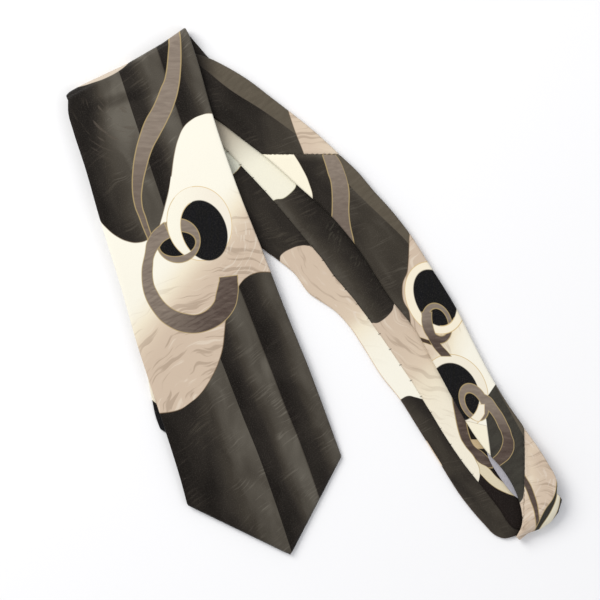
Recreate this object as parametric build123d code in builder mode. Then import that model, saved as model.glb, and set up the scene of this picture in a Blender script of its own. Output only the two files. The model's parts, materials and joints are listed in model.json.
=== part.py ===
"""A pieced silk necktie, folded in four leaves and laid flat.

Frame: millimetres, +Z up from the table, +Y towards the top fold, origin under the middle of the laid tie.
The strip runs from the wide tip up the front leaf, round the top fold, down the under leaf, round a soft
turn, back up the neck leaf and round an inner fold into the tail leaf, which lies under the front leaf.
"""
import os
from math import cos, radians, sin

from build123d import *

os.makedirs("parts", exist_ok=True)

# Cloth thicknesses
SILK = 0.4
LEAF = 2.6
AIR = 0.3
CORE_TOP = LEAF - SILK

# Heights of the undersides of the four leaves where they lie stacked at the top fold
PITCH = LEAF + AIR
UNDER_Z = 0.0
NECK_Z = PITCH
TAIL_Z = 2 * PITCH
FRONT_Z = 3 * PITCH

# Top fold, where the blade doubles back on itself
FOLD_ANGLE = 28.7
FOLD_MIDDLE = (-119.8, 145.2)
FOLD_WIDTH = 87.5
FOLD_RADIUS = (FRONT_Z + LEAF) / 2

# Inner fold, where the neck strip doubles back as the tail
TAIL_FOLD_ANGLE = 31.0
TAIL_FOLD_MIDDLE = (-101.0, 146.0)
TAIL_FOLD_WIDTH = 38.0
TAIL_FOLD_RADIUS = (TAIL_Z + LEAF - NECK_Z) / 2
TAIL_FOLD_Z = NECK_Z + TAIL_FOLD_RADIUS

# Soft turn, where the strip rolls over from the under leaf to the neck leaf
TURN_ANGLE = 41.9
TURN_MIDDLE = (141.9, -143.9)
TURN_WIDTH = 39.0
TURN_HEIGHT = 14.0
TURN_RADIUS = TURN_HEIGHT / 2

# Back seam
SEAM_GAP = 0.8
STITCH_THREAD = 0.3
STITCH_SPAN = SEAM_GAP - 0.2
STITCH_LOW = (SILK - STITCH_THREAD) / 2
STITCH_HIGH = STITCH_LOW + STITCH_THREAD
PIECING_STITCH = 1.8

# How many stitches each seam has, and the shares of a seam between which they lie
FRONT_STITCH_COUNT = 14
FRONT_STITCHES_END = 0.78
UNDER_STITCH_COUNT = 18
NECK_STITCH_COUNT = 16
NECK_STITCHES_START = 0.08
NECK_STITCHES_END = 0.95
TAIL_STITCH_COUNT = 10
TAIL_STITCHES_END = 0.85
BLADE_NECK_STITCH_COUNT = 14
NECK_TAIL_STITCH_COUNT = 16

# Small pieces, each placed square to its leaf
BAR_TACK = (9.0, 1.6)
BLADE_TACK_PLACE = (-47.5, -89.0)
BLADE_TACK_ANGLE = 18
TAIL_TACK_PLACE = (-82.8, -71.5)
TAIL_TACK_ANGLE = 13
KEEPER_SIZE = (56.0, 24.0)
KEEPER_MIDDLE = (-94.0, 53.0)
KEEPER_ANGLE = 17
KEEPER_TAB = 5.0
KEEPER_CLOTH = 0.6
KEEPER_SLACK = 0.6
LABEL_CLOTH = 0.25
MAKER_LABEL = (38.0, 20.0)
MAKER_LABEL_PLACE = (-84.0, 22.0)
CARE_LABEL = (22.0, 14.0)
CARE_LABEL_PLACE = (-85.5, -40.0)
CARE_LABEL_ANGLE = 10

# Room round a leaf's own shape for the solids that cut it out
TALL = 30.0
REACH = 260.0
LONG = 640.0
OVERRUN = 5.0
EDGE_RUNS = 3


def along(angle):
    """Unit vector of a plan angle in degrees."""
    return Vector(cos(radians(angle)), sin(radians(angle)), 0)


def side_plane(middle, angle):
    """Upright plane across a fold: local x runs away from the fold on the leaf, local y is up."""
    return Plane(origin=(*middle, 0), x_dir=along(angle - 90), z_dir=-along(angle))


def end_plane(middle, angle):
    """Upright plane along a fold, facing the leaves that end there."""
    return Plane(origin=(*middle, 0), x_dir=along(angle), z_dir=along(angle - 90))


FOLD_SIDE = side_plane(FOLD_MIDDLE, FOLD_ANGLE)
FOLD_END = end_plane(FOLD_MIDDLE, FOLD_ANGLE)
TAIL_SIDE = side_plane(TAIL_FOLD_MIDDLE, TAIL_FOLD_ANGLE)
TAIL_END = end_plane(TAIL_FOLD_MIDDLE, TAIL_FOLD_ANGLE)
TURN_SIDE = side_plane(TURN_MIDDLE, TURN_ANGLE + 180)
TURN_END = end_plane(TURN_MIDDLE, TURN_ANGLE + 180)

# Side lines of the leaves' undersides: distance from the fold, height. Their slopes are gentle, so straight
# pieces are enough.
FRONT_SLOPE = [(-OVERRUN, FRONT_Z), (50, FRONT_Z), (110, 8.0), (160, 5.3), (205, 3.8), (245, 3.4),
               (272, 1.7), (300, 0), (LONG, 0)]
TAIL_SLOPE = [(-OVERRUN, TAIL_Z), (44, TAIL_Z), (95, 3.0), (140, 0), (LONG, 0)]
NECK_SLOPE = [(-OVERRUN, TURN_HEIGHT - LEAF), (4, TURN_HEIGHT - LEAF), (40, 7.0), (80, NECK_Z),
              (LONG, NECK_Z)]
UNDER_SLOPE = [(-OVERRUN, UNDER_Z), (LONG, UNDER_Z)]


def band(slope, low, high):
    """Face between two copies of a side line, low and high above it."""
    lower = [(s, z + low) for s, z in slope]
    upper = [(s, z + high) for s, z in reversed(slope)]
    with BuildSketch() as face:
        with BuildLine():
            Polyline(*lower, *upper, close=True)
        make_face()
    return face.sketch


def layer(plan, side, slope, low, high, ends=()):
    """Solid over a plan shape, between two heights above a leaf's underside, cut off at the folds."""
    with BuildPart() as solid:
        with BuildSketch():
            add(plan)
        extrude(amount=TALL)
        with BuildSketch(side):
            add(band(slope, low, high))
        extrude(amount=REACH, both=True, mode=Mode.INTERSECT)
        for end in ends:
            with BuildSketch(end):
                Rectangle(LONG, LONG)
            extrude(amount=LONG, mode=Mode.INTERSECT)
    return solid.part


def smooth(*points):
    """Points of a smooth line in short straight runs, so that an outline of them can be drawn in evenly."""
    curve = Spline(*points, mode=Mode.PRIVATE)
    runs = EDGE_RUNS * (len(points) - 1)
    return [(place.X, place.Y) for place in curve.positions([i / runs for i in range(runs + 1)])]


def outline(*points):
    """Closed plan shape through points."""
    with BuildSketch() as shape:
        with BuildLine():
            Polyline(*points, close=True)
        make_face()
    return shape.sketch


def inset(plan, amount):
    """Plan shape drawn in by an amount all round."""
    with BuildSketch() as smaller:
        add(plan)
        offset(amount=-amount, kind=Kind.INTERSECTION)
    return smaller.sketch


def seam_strip(points, width=SEAM_GAP):
    """Narrow plan strip along a smooth line."""
    with BuildSketch() as strip:
        with BuildLine():
            Polyline(*smooth(*points))
        trace(line_width=width)
    return strip.sketch


def dashes(points, length, width, count, start=0.0, end=1.0, turn=90):
    """Plan of short stitches spaced along a share of a smooth line, turned from its direction."""
    with BuildLine(mode=Mode.PRIVATE) as path:
        Polyline(*smooth(*points))
    seam = path.wire()
    with BuildSketch() as marks:
        for i in range(count):
            share = start + (end - start) * (i + 0.5) / count
            place = seam @ share
            heading = seam.tangent_angle_at(share)
            with Locations(Location((place.X, place.Y, 0), (0, 0, 1), heading + turn)):
                Rectangle(length, width)
    return marks.sketch


def roll(side, centre_z, inner, outer, width):
    """Half ring standing past a fold, of one width along the fold."""
    with BuildPart() as ring:
        with BuildSketch(side):
            with Locations((0, centre_z)):
                Circle(outer)
                Circle(inner, mode=Mode.SUBTRACT)
            with Locations((outer, centre_z)):
                Rectangle(2 * outer, 4 * outer, mode=Mode.SUBTRACT)
        extrude(amount=width / 2, both=True)
    return ring.part


def roll_core(side, centre_z, radius, width):
    """Interlining of a rolled fold."""
    return roll(side, centre_z, radius - CORE_TOP, radius - SILK, width - 2 * SILK)


def past(middle, angle, distance):
    """Plan point at a distance along a fold's line and beyond the fold, as (along, outwards)."""
    shift = along(angle) * distance[0] - along(angle - 90) * distance[1]
    return (middle[0] + shift.X, middle[1] + shift.Y)


def finish(piece, name):
    """Label a piece and write it."""
    piece.part.label = name
    export_step(piece.part, f"parts/{name}.step")


# ---------------------------------------------------------------- plan shapes of the leaves
FOLD_LEFT = past(FOLD_MIDDLE, FOLD_ANGLE, (-FOLD_WIDTH / 2, 0))
FOLD_RIGHT = past(FOLD_MIDDLE, FOLD_ANGLE, (FOLD_WIDTH / 2, 0))
FOLD_LEFT_OUT = past(FOLD_MIDDLE, FOLD_ANGLE, (-FOLD_WIDTH / 2, OVERRUN))
FOLD_RIGHT_OUT = past(FOLD_MIDDLE, FOLD_ANGLE, (FOLD_WIDTH / 2, OVERRUN))
TAIL_FOLD_LEFT = past(TAIL_FOLD_MIDDLE, TAIL_FOLD_ANGLE, (-TAIL_FOLD_WIDTH / 2, 0))
TAIL_FOLD_RIGHT = past(TAIL_FOLD_MIDDLE, TAIL_FOLD_ANGLE, (TAIL_FOLD_WIDTH / 2, 0))
TAIL_FOLD_LEFT_OUT = past(TAIL_FOLD_MIDDLE, TAIL_FOLD_ANGLE, (-TAIL_FOLD_WIDTH / 2, OVERRUN))
TAIL_FOLD_RIGHT_OUT = past(TAIL_FOLD_MIDDLE, TAIL_FOLD_ANGLE, (TAIL_FOLD_WIDTH / 2, OVERRUN))
TURN_LEFT = past(TURN_MIDDLE, TURN_ANGLE + 180, (TURN_WIDTH / 2, 0))
TURN_RIGHT = past(TURN_MIDDLE, TURN_ANGLE + 180, (-TURN_WIDTH / 2, 0))
TURN_LEFT_OUT = past(TURN_MIDDLE, TURN_ANGLE + 180, (TURN_WIDTH / 2, OVERRUN))
TURN_RIGHT_OUT = past(TURN_MIDDLE, TURN_ANGLE + 180, (-TURN_WIDTH / 2, OVERRUN))

FRONT_TIP = (-15.9, -171.0)
FRONT_RIGHT_SHOULDER = (17.2, -106.9)
FRONT_LEFT_SHOULDER = (-83.0, -138.5)

FRONT_PLAN = outline(
    FOLD_LEFT_OUT,
    FOLD_RIGHT_OUT,
    *smooth(FOLD_RIGHT, (-66.4, 115.4), (-49.1, 64.5), (-33.9, 26.3), (-16.6, -18.5), (7.2, -79.4),
            FRONT_RIGHT_SHOULDER),
    FRONT_TIP,
    *smooth(FRONT_LEFT_SHOULDER, (-97.6, -89.2), (-107.3, -59.5), (-124.7, -1), (-139.8, 48.4),
            (-153.0, 94.0), FOLD_LEFT),
)

UNDER_PLAN = outline(
    FOLD_LEFT_OUT,
    FOLD_RIGHT_OUT,
    *smooth(FOLD_RIGHT, (-67.0, 149.5), (-32.0, 118.0), (12.0, 72.0), (47.0, 28.0), (86.0, -32.0),
            (114.0, -78.0), (134.0, -106.0), TURN_RIGHT),
    TURN_RIGHT_OUT,
    TURN_LEFT_OUT,
    *smooth((122.5, -161.0), (110.8, -152.6), (97.4, -136.8), (79.4, -108.7), (56.0, -71.4),
            (31.4, -36.3), (3.6, -6.8), (-35.0, 28.0)),
    FOLD_LEFT,
)

NECK_PLAN = outline(
    TURN_LEFT_OUT,
    TURN_RIGHT_OUT,
    *smooth(TURN_RIGHT, (153.1, -114.1), (137.5, -91.3), (114.9, -56.5), (92.6, -12.9), (60.6, 38.2),
            (27.4, 77.5), (-27.6, 124.7), (-67.5, 149.0), TAIL_FOLD_RIGHT),
    TAIL_FOLD_RIGHT_OUT,
    TAIL_FOLD_LEFT_OUT,
    *smooth(TAIL_FOLD_LEFT, (-62.9, 110.8), (-31.0, 86.5), (25.4, 31.8), (64.0, -22.9), (97.2, -82.6),
            (127.3, -123.4), TURN_LEFT),
)

TAIL_TIP = (-74.0, -105.5)
TAIL_LEFT_SHOULDER = (-101.0, -88.5)
TAIL_RIGHT_SHOULDER = (-57.3, -77.7)

TAIL_PLAN = outline(
    TAIL_FOLD_LEFT_OUT,
    TAIL_FOLD_RIGHT_OUT,
    *smooth(TAIL_FOLD_RIGHT, (-80.5, 110.0), (-76.5, 46.0), (-66.4, -48.6), TAIL_RIGHT_SHOULDER),
    TAIL_TIP,
    *smooth(TAIL_LEFT_SHOULDER, (-108.2, -58.8), (-114.8, 46.0), TAIL_FOLD_LEFT),
)

# Back seams, each from the fold towards the leaf's other end
UNDER_SEAM = [FOLD_MIDDLE, (-59.2, 93.1), (-9.4, 38.0), (36.6, -20.5), (70.4, -71.0), (106.3, -123.8),
              (129.0, -152.4)]
FRONT_SEAM = [FOLD_MIDDLE, (-95.0, 52.0), (-62.0, -50.0), (-45.2, -95.5)]
TAIL_SEAM = [TAIL_FOLD_MIDDLE, (-96.0, 46.0), (-87.0, -54.0), (-82.0, -76.0)]
NECK_SEAM = [(136.0, -127.0), (84.0, -42.0), (11.0, 59.0), (-46.0, 116.0), TAIL_FOLD_MIDDLE]

# Linings fill the open back of each tip: a kite drawn in from the edges, which the seam runs into
FRONT_OPENING = outline((-46.0, -93.0), (1.5, -106.0), (-17.5, -155.5), (-69.5, -130.5))
TAIL_OPENING = outline((-82.5, -74.0), (-65.5, -79.5), (-74.6, -97.5), (-94.0, -85.5))

# ---------------------------------------------------------------- front leaf
front_core = layer(inset(FRONT_PLAN, SILK), FOLD_SIDE, FRONT_SLOPE, SILK, CORE_TOP, [FOLD_END])
front_solid = layer(FRONT_PLAN, FOLD_SIDE, FRONT_SLOPE, 0, LEAF, [FOLD_END])
front_slit = layer(seam_strip(FRONT_SEAM), FOLD_SIDE, FRONT_SLOPE, 0, SILK)
front_back_opening = layer(FRONT_OPENING, FOLD_SIDE, FRONT_SLOPE, 0, SILK)

with BuildSketch() as blade_tack_plan:
    with Locations(BLADE_TACK_PLACE):
        Rectangle(*BAR_TACK, rotation=BLADE_TACK_ANGLE)

blade_tack_solid = layer(blade_tack_plan.sketch, FOLD_SIDE, FRONT_SLOPE, 0, SILK)

with BuildPart() as blade_shell:
    add(front_solid)
    add(front_core, mode=Mode.SUBTRACT)
    add(front_slit, mode=Mode.SUBTRACT)
    add(front_back_opening, mode=Mode.SUBTRACT)
    add(blade_tack_solid, mode=Mode.SUBTRACT)
finish(blade_shell, "blade_shell")

with BuildPart() as blade_interlining:
    add(front_core)
finish(blade_interlining, "blade_interlining")

with BuildPart() as blade_lining:
    add(front_back_opening)
    add(blade_tack_solid, mode=Mode.SUBTRACT)
finish(blade_lining, "blade_lining")

with BuildPart() as blade_bar_tack:
    add(blade_tack_solid)
finish(blade_bar_tack, "blade_bar_tack")

FRONT_STITCHES = dashes(FRONT_SEAM, STITCH_SPAN, STITCH_THREAD, FRONT_STITCH_COUNT, end=FRONT_STITCHES_END)
front_stitch_solids = layer(FRONT_STITCHES, FOLD_SIDE, FRONT_SLOPE, STITCH_LOW, STITCH_HIGH)

with BuildPart() as blade_slip_stitches:
    add(front_stitch_solids)
finish(blade_slip_stitches, "blade_slip_stitches")

# Keeper: a flat band held off the leaf's back by its slack, with a tab at each end on the leaf
KEEPER_PLACE = Location((*KEEPER_MIDDLE, 0), (0, 0, 1), KEEPER_ANGLE)

with BuildSketch() as keeper_plan:
    with Locations(KEEPER_PLACE):
        Rectangle(*KEEPER_SIZE)

with BuildSketch() as keeper_tab_plan:
    with Locations(KEEPER_PLACE):
        with Locations((KEEPER_SIZE[0] / 2 - KEEPER_TAB / 2, 0), (KEEPER_TAB / 2 - KEEPER_SIZE[0] / 2, 0)):
            Rectangle(KEEPER_TAB, KEEPER_SIZE[1])

keeper_band = layer(keeper_plan.sketch, FOLD_SIDE, FRONT_SLOPE, -KEEPER_SLACK - KEEPER_CLOTH, -KEEPER_SLACK)
keeper_tabs = layer(keeper_tab_plan.sketch, FOLD_SIDE, FRONT_SLOPE, -KEEPER_SLACK - KEEPER_CLOTH, 0)

with BuildPart() as keeper_loop:
    add(keeper_band)
    add(keeper_tabs)
finish(keeper_loop, "keeper_loop")

with BuildSketch() as maker_label_plan:
    with Locations(Location((*MAKER_LABEL_PLACE, 0), (0, 0, 1), KEEPER_ANGLE)):
        Rectangle(*MAKER_LABEL)

maker_label_solid = layer(maker_label_plan.sketch, FOLD_SIDE, FRONT_SLOPE, -LABEL_CLOTH, 0)

with BuildPart() as maker_label:
    add(maker_label_solid)
finish(maker_label, "maker_label")

# ---------------------------------------------------------------- top fold
fold_slit = roll(FOLD_SIDE, FOLD_RADIUS, FOLD_RADIUS - LEAF, FOLD_RADIUS - CORE_TOP, SEAM_GAP)

with BuildPart() as blade_fold_interlining:
    add(roll_core(FOLD_SIDE, FOLD_RADIUS, FOLD_RADIUS, FOLD_WIDTH))
finish(blade_fold_interlining, "blade_fold_interlining")

with BuildPart() as blade_fold_shell:
    add(roll(FOLD_SIDE, FOLD_RADIUS, FOLD_RADIUS - LEAF, FOLD_RADIUS, FOLD_WIDTH))
    add(blade_fold_interlining.part, mode=Mode.SUBTRACT)
    add(fold_slit, mode=Mode.SUBTRACT)
finish(blade_fold_shell, "blade_fold_shell")

# ---------------------------------------------------------------- under leaf
UNDER_ENDS = [FOLD_END, TURN_END]
under_core = layer(inset(UNDER_PLAN, SILK), FOLD_SIDE, UNDER_SLOPE, SILK, CORE_TOP, UNDER_ENDS)
under_solid = layer(UNDER_PLAN, FOLD_SIDE, UNDER_SLOPE, 0, LEAF, UNDER_ENDS)
under_slit = layer(seam_strip(UNDER_SEAM), FOLD_SIDE, UNDER_SLOPE, CORE_TOP, LEAF)

with BuildPart() as under_blade_interlining:
    add(under_core)
finish(under_blade_interlining, "under_blade_interlining")

with BuildPart() as under_blade_shell:
    add(under_solid)
    add(under_core, mode=Mode.SUBTRACT)
    add(under_slit, mode=Mode.SUBTRACT)
finish(under_blade_shell, "under_blade_shell")

UNDER_STITCHES = dashes(UNDER_SEAM, STITCH_SPAN, STITCH_THREAD, UNDER_STITCH_COUNT)
under_stitch_solids = layer(UNDER_STITCHES, FOLD_SIDE, UNDER_SLOPE, CORE_TOP + STITCH_LOW,
                            CORE_TOP + STITCH_HIGH)

with BuildPart() as under_slip_stitches:
    add(under_stitch_solids)
finish(under_slip_stitches, "under_slip_stitches")

# ---------------------------------------------------------------- neck leaf and soft turn
NECK_ENDS = [TURN_END, TAIL_END]
neck_core = layer(inset(NECK_PLAN, SILK), TURN_SIDE, NECK_SLOPE, SILK, CORE_TOP, NECK_ENDS)
neck_solid = layer(NECK_PLAN, TURN_SIDE, NECK_SLOPE, 0, LEAF, NECK_ENDS)
neck_slit = layer(seam_strip(NECK_SEAM), TURN_SIDE, NECK_SLOPE, 0, SILK)

# Piecing seams cross the strip: blade to neck panel beside the turn, neck to tail panel near the top fold
BLADE_NECK_SEAM_X = 135.8
NECK_TAIL_SEAM_Y = 88.5
BLADE_NECK_CUT = Plane(origin=(BLADE_NECK_SEAM_X, 0, 0), z_dir=(-1, 0, 0))
NECK_TAIL_CUT = Plane(origin=(0, NECK_TAIL_SEAM_Y, 0), z_dir=(0, 1, 0))


def panel(strip, *kept):
    """Part of a strip on the kept side of each upright plane."""
    with BuildPart() as piece:
        add(strip)
        for plane in kept:
            with BuildSketch(plane):
                Rectangle(LONG, LONG)
            extrude(amount=LONG, mode=Mode.INTERSECT)
    return piece.part


with BuildPart() as neck_strip_shell:
    add(neck_solid)
    add(neck_core, mode=Mode.SUBTRACT)
    add(neck_slit, mode=Mode.SUBTRACT)

with BuildPart() as neck_interlining:
    add(neck_core)
finish(neck_interlining, "neck_interlining")

neck_panel = panel(neck_strip_shell.part, BLADE_NECK_CUT, -NECK_TAIL_CUT)
tail_panel_start = panel(neck_strip_shell.part, NECK_TAIL_CUT)
blade_panel_end = panel(neck_strip_shell.part, -BLADE_NECK_CUT)

with BuildPart() as neck_shell:
    add(neck_panel)
finish(neck_shell, "neck_shell")

with BuildPart() as tail_upper_shell:
    add(tail_panel_start)
finish(tail_upper_shell, "tail_upper_shell")

with BuildPart() as neck_turn_interlining:
    add(roll_core(TURN_SIDE, TURN_RADIUS, TURN_RADIUS, TURN_WIDTH))
finish(neck_turn_interlining, "neck_turn_interlining")

with BuildPart() as neck_turn_shell:
    add(roll(TURN_SIDE, TURN_RADIUS, TURN_RADIUS - LEAF, TURN_RADIUS, TURN_WIDTH))
    add(neck_turn_interlining.part, mode=Mode.SUBTRACT)
    add(blade_panel_end)
finish(neck_turn_shell, "neck_turn_shell")

BLADE_NECK_SEAM = [(BLADE_NECK_SEAM_X, -92.5), (BLADE_NECK_SEAM_X, -112.0), (BLADE_NECK_SEAM_X, -133.0)]
NECK_TAIL_SEAM = [(-31.0, NECK_TAIL_SEAM_Y), (-8.0, NECK_TAIL_SEAM_Y), (13.5, NECK_TAIL_SEAM_Y)]
blade_neck_dashes = dashes(BLADE_NECK_SEAM, PIECING_STITCH, STITCH_THREAD, BLADE_NECK_STITCH_COUNT, turn=0)
neck_tail_dashes = dashes(NECK_TAIL_SEAM, PIECING_STITCH, STITCH_THREAD, NECK_TAIL_STITCH_COUNT, turn=0)
blade_neck_solids = layer(blade_neck_dashes, TURN_SIDE, NECK_SLOPE, LEAF, LEAF + STITCH_THREAD)
neck_tail_solids = layer(neck_tail_dashes, TURN_SIDE, NECK_SLOPE, LEAF, LEAF + STITCH_THREAD)

with BuildPart() as blade_neck_seam_stitches:
    add(blade_neck_solids)
finish(blade_neck_seam_stitches, "blade_neck_seam_stitches")

with BuildPart() as neck_tail_seam_stitches:
    add(neck_tail_solids)
finish(neck_tail_seam_stitches, "neck_tail_seam_stitches")

NECK_STITCHES = dashes(NECK_SEAM, STITCH_SPAN, STITCH_THREAD, NECK_STITCH_COUNT,
                       start=NECK_STITCHES_START, end=NECK_STITCHES_END)
neck_stitch_solids = layer(NECK_STITCHES, TURN_SIDE, NECK_SLOPE, STITCH_LOW, STITCH_HIGH)

with BuildPart() as neck_slip_stitches:
    add(neck_stitch_solids)
finish(neck_slip_stitches, "neck_slip_stitches")

# ---------------------------------------------------------------- inner fold
with BuildPart() as tail_fold_interlining:
    add(roll_core(TAIL_SIDE, TAIL_FOLD_Z, TAIL_FOLD_RADIUS, TAIL_FOLD_WIDTH))
finish(tail_fold_interlining, "tail_fold_interlining")

with BuildPart() as tail_fold_shell:
    add(roll(TAIL_SIDE, TAIL_FOLD_Z, TAIL_FOLD_RADIUS - LEAF, TAIL_FOLD_RADIUS, TAIL_FOLD_WIDTH))
    add(tail_fold_interlining.part, mode=Mode.SUBTRACT)
finish(tail_fold_shell, "tail_fold_shell")

# ---------------------------------------------------------------- tail leaf
tail_core = layer(inset(TAIL_PLAN, SILK), TAIL_SIDE, TAIL_SLOPE, SILK, CORE_TOP, [TAIL_END])
tail_solid = layer(TAIL_PLAN, TAIL_SIDE, TAIL_SLOPE, 0, LEAF, [TAIL_END])
tail_slit = layer(seam_strip(TAIL_SEAM), TAIL_SIDE, TAIL_SLOPE, CORE_TOP, LEAF)
tail_back_opening = layer(TAIL_OPENING, TAIL_SIDE, TAIL_SLOPE, CORE_TOP, LEAF)

with BuildSketch() as tail_tack_plan:
    with Locations(TAIL_TACK_PLACE):
        Rectangle(*BAR_TACK, rotation=TAIL_TACK_ANGLE)

tail_tack_solid = layer(tail_tack_plan.sketch, TAIL_SIDE, TAIL_SLOPE, CORE_TOP, LEAF)

with BuildPart() as tail_shell:
    add(tail_solid)
    add(tail_core, mode=Mode.SUBTRACT)
    add(tail_slit, mode=Mode.SUBTRACT)
    add(tail_back_opening, mode=Mode.SUBTRACT)
    add(tail_tack_solid, mode=Mode.SUBTRACT)
finish(tail_shell, "tail_shell")

with BuildPart() as tail_interlining:
    add(tail_core)
finish(tail_interlining, "tail_interlining")

with BuildPart() as tail_lining:
    add(tail_back_opening)
    add(tail_tack_solid, mode=Mode.SUBTRACT)
finish(tail_lining, "tail_lining")

with BuildPart() as tail_bar_tack:
    add(tail_tack_solid)
finish(tail_bar_tack, "tail_bar_tack")

TAIL_STITCHES = dashes(TAIL_SEAM, STITCH_SPAN, STITCH_THREAD, TAIL_STITCH_COUNT, end=TAIL_STITCHES_END)
tail_stitch_solids = layer(TAIL_STITCHES, TAIL_SIDE, TAIL_SLOPE, CORE_TOP + STITCH_LOW,
                           CORE_TOP + STITCH_HIGH)

with BuildPart() as tail_slip_stitches:
    add(tail_stitch_solids)
finish(tail_slip_stitches, "tail_slip_stitches")

with BuildSketch() as care_label_plan:
    with Locations(Location((*CARE_LABEL_PLACE, 0), (0, 0, 1), CARE_LABEL_ANGLE)):
        Rectangle(*CARE_LABEL)

care_label_solid = layer(care_label_plan.sketch, TAIL_SIDE, TAIL_SLOPE, LEAF, LEAF + LABEL_CLOTH)

with BuildPart() as care_label:
    add(care_label_solid)
finish(care_label, "care_label")
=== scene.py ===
"""A pieced silk necktie, folded in four leaves and laid flat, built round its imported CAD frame.

The tie is one long strip, made as a row of stations from the wide tip to the tail tip: up the front leaf,
round the top fold, down the under leaf, round the soft turn, up the neck leaf, round the inner fold and down
the tail leaf. At each station one cloth wraps the strip and laps over itself along the back seam.
Plan shapes are in millimetres in the frame's X and Y, and meshes are made in metres.
"""

import functools
import json
import math

import bmesh
import bpy
import numpy as np
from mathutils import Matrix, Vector, noise


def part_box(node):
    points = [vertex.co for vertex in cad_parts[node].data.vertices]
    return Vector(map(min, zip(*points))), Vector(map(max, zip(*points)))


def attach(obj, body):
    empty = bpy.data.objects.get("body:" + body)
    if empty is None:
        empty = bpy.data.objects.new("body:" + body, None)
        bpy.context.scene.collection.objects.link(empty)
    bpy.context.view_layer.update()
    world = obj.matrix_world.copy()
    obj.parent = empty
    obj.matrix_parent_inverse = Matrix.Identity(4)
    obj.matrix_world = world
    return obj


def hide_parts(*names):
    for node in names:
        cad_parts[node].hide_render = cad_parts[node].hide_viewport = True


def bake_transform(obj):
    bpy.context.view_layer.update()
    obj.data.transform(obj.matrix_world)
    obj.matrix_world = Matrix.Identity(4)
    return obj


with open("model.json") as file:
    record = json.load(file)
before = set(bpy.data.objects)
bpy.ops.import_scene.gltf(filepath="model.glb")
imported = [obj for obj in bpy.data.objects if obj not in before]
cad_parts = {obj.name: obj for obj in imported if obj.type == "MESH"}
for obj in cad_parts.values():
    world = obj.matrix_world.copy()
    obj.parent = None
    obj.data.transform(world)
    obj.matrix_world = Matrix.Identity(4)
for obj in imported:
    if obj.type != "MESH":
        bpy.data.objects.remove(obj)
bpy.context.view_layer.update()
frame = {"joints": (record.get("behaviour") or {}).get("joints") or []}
MM = 0.001

# ---------------------------------------------------------------- sizes
# In millimetres. GAUGE is the folded strip's thickness. At the back seam the right flap laps over the left.
GAUGE = 1.9
CLOTH = 0.35
LAP_RISE = 0.45
LAP_WIDTH = 3.5
LAP_RAMP = 9.0
LAP_FADE = 12.0
SEAM_DIP = 0.35
SEAM_MARGIN = 0.12
SEAM_SMOOTHING = 9
TIP_SHARE = 0.55
CUT_REACH = 0.02
JOIN_GAP = 0.05
SAME_PLACE = 0.01
FINE_WELD = 0.001
STATION_STEP = 2.4
FRONT_COLUMNS = 40
FLAP_COLUMNS = FRONT_COLUMNS // 2 + 1
EDGE_COLUMNS = 5
ROLL_STATIONS = 17
FINE_RUNS = 24


# ---------------------------------------------------------------- lines
def hermite(places, values, at):
    """Smooth values at some places, through a few set ones."""
    places = np.array(places, float)
    values = np.array(values, float)
    slopes = np.gradient(values, places, axis=0)
    at = np.clip(at, places[0], places[-1])
    k = np.clip(np.searchsorted(places, at, "right") - 1, 0, len(places) - 2)
    run = places[k + 1] - places[k]
    x = (at - places[k]) / run
    if values.ndim == 2:
        run, x = run[:, None], x[:, None]
    rise = 3 * x**2 - 2 * x**3
    return (values[k] * (1 - rise) + values[k + 1] * rise
            + run * slopes[k] * (x**3 - 2 * x**2 + x) + run * slopes[k + 1] * (x**3 - x**2))


def lengths(points):
    """Distance travelled along a line at each of its points."""
    return np.append(0, np.cumsum(np.linalg.norm(np.diff(points, axis=0), axis=1)))


def trace(points, count):
    """Evenly spaced points on a smooth line through a few given ones."""
    points = np.array(points, float)
    travelled = lengths(points)
    fine = hermite(travelled, points, np.linspace(0, travelled[-1], FINE_RUNS * len(points)))
    travelled = lengths(fine)
    even = np.linspace(0, travelled[-1], count)
    return np.column_stack([np.interp(even, travelled, fine[:, i]) for i in range(fine.shape[1])])


def ease(x):
    """0 to 1 with a soft start and end."""
    x = np.clip(x, 0, 1)
    return x * x * (3 - 2 * x)


# ---------------------------------------------------------------- folds, from the frame
class Fold:
    """A fold line in plan: its middle, the way it runs from the left edge to the right, and the way in."""

    def __init__(self, name):
        joint = next(j for j in frame["joints"] if j["name"] == name)
        place = np.array(joint["pos_m"]) / MM
        self.middle = place[:2]
        self.height = place[2]
        self.along = -np.array(joint["axis"][:2])
        self.inward = np.array([self.along[1], -self.along[0]])

    def foot(self, distance):
        """Plan point on the fold line."""
        return self.middle + self.along * distance

    def depth(self, plan):
        """How far in from the fold line plan points are."""
        return (plan - self.middle) @ self.inward


def middle_height(node):
    """Height of the middle of a CAD node, in millimetres."""
    low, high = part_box(node)
    return (low.z + high.z) / 2 / MM


BLADE_FOLD = Fold("blade_fold")
TAIL_FOLD = Fold("tail_fold")
UNDER_HEIGHT = middle_height("under_blade_shell")
NECK_HEIGHT = middle_height("tail_upper_shell")
TAIL_HEIGHT = 2 * TAIL_FOLD.height - NECK_HEIGHT
FRONT_HEIGHT = 2 * BLADE_FOLD.height - UNDER_HEIGHT

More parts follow.
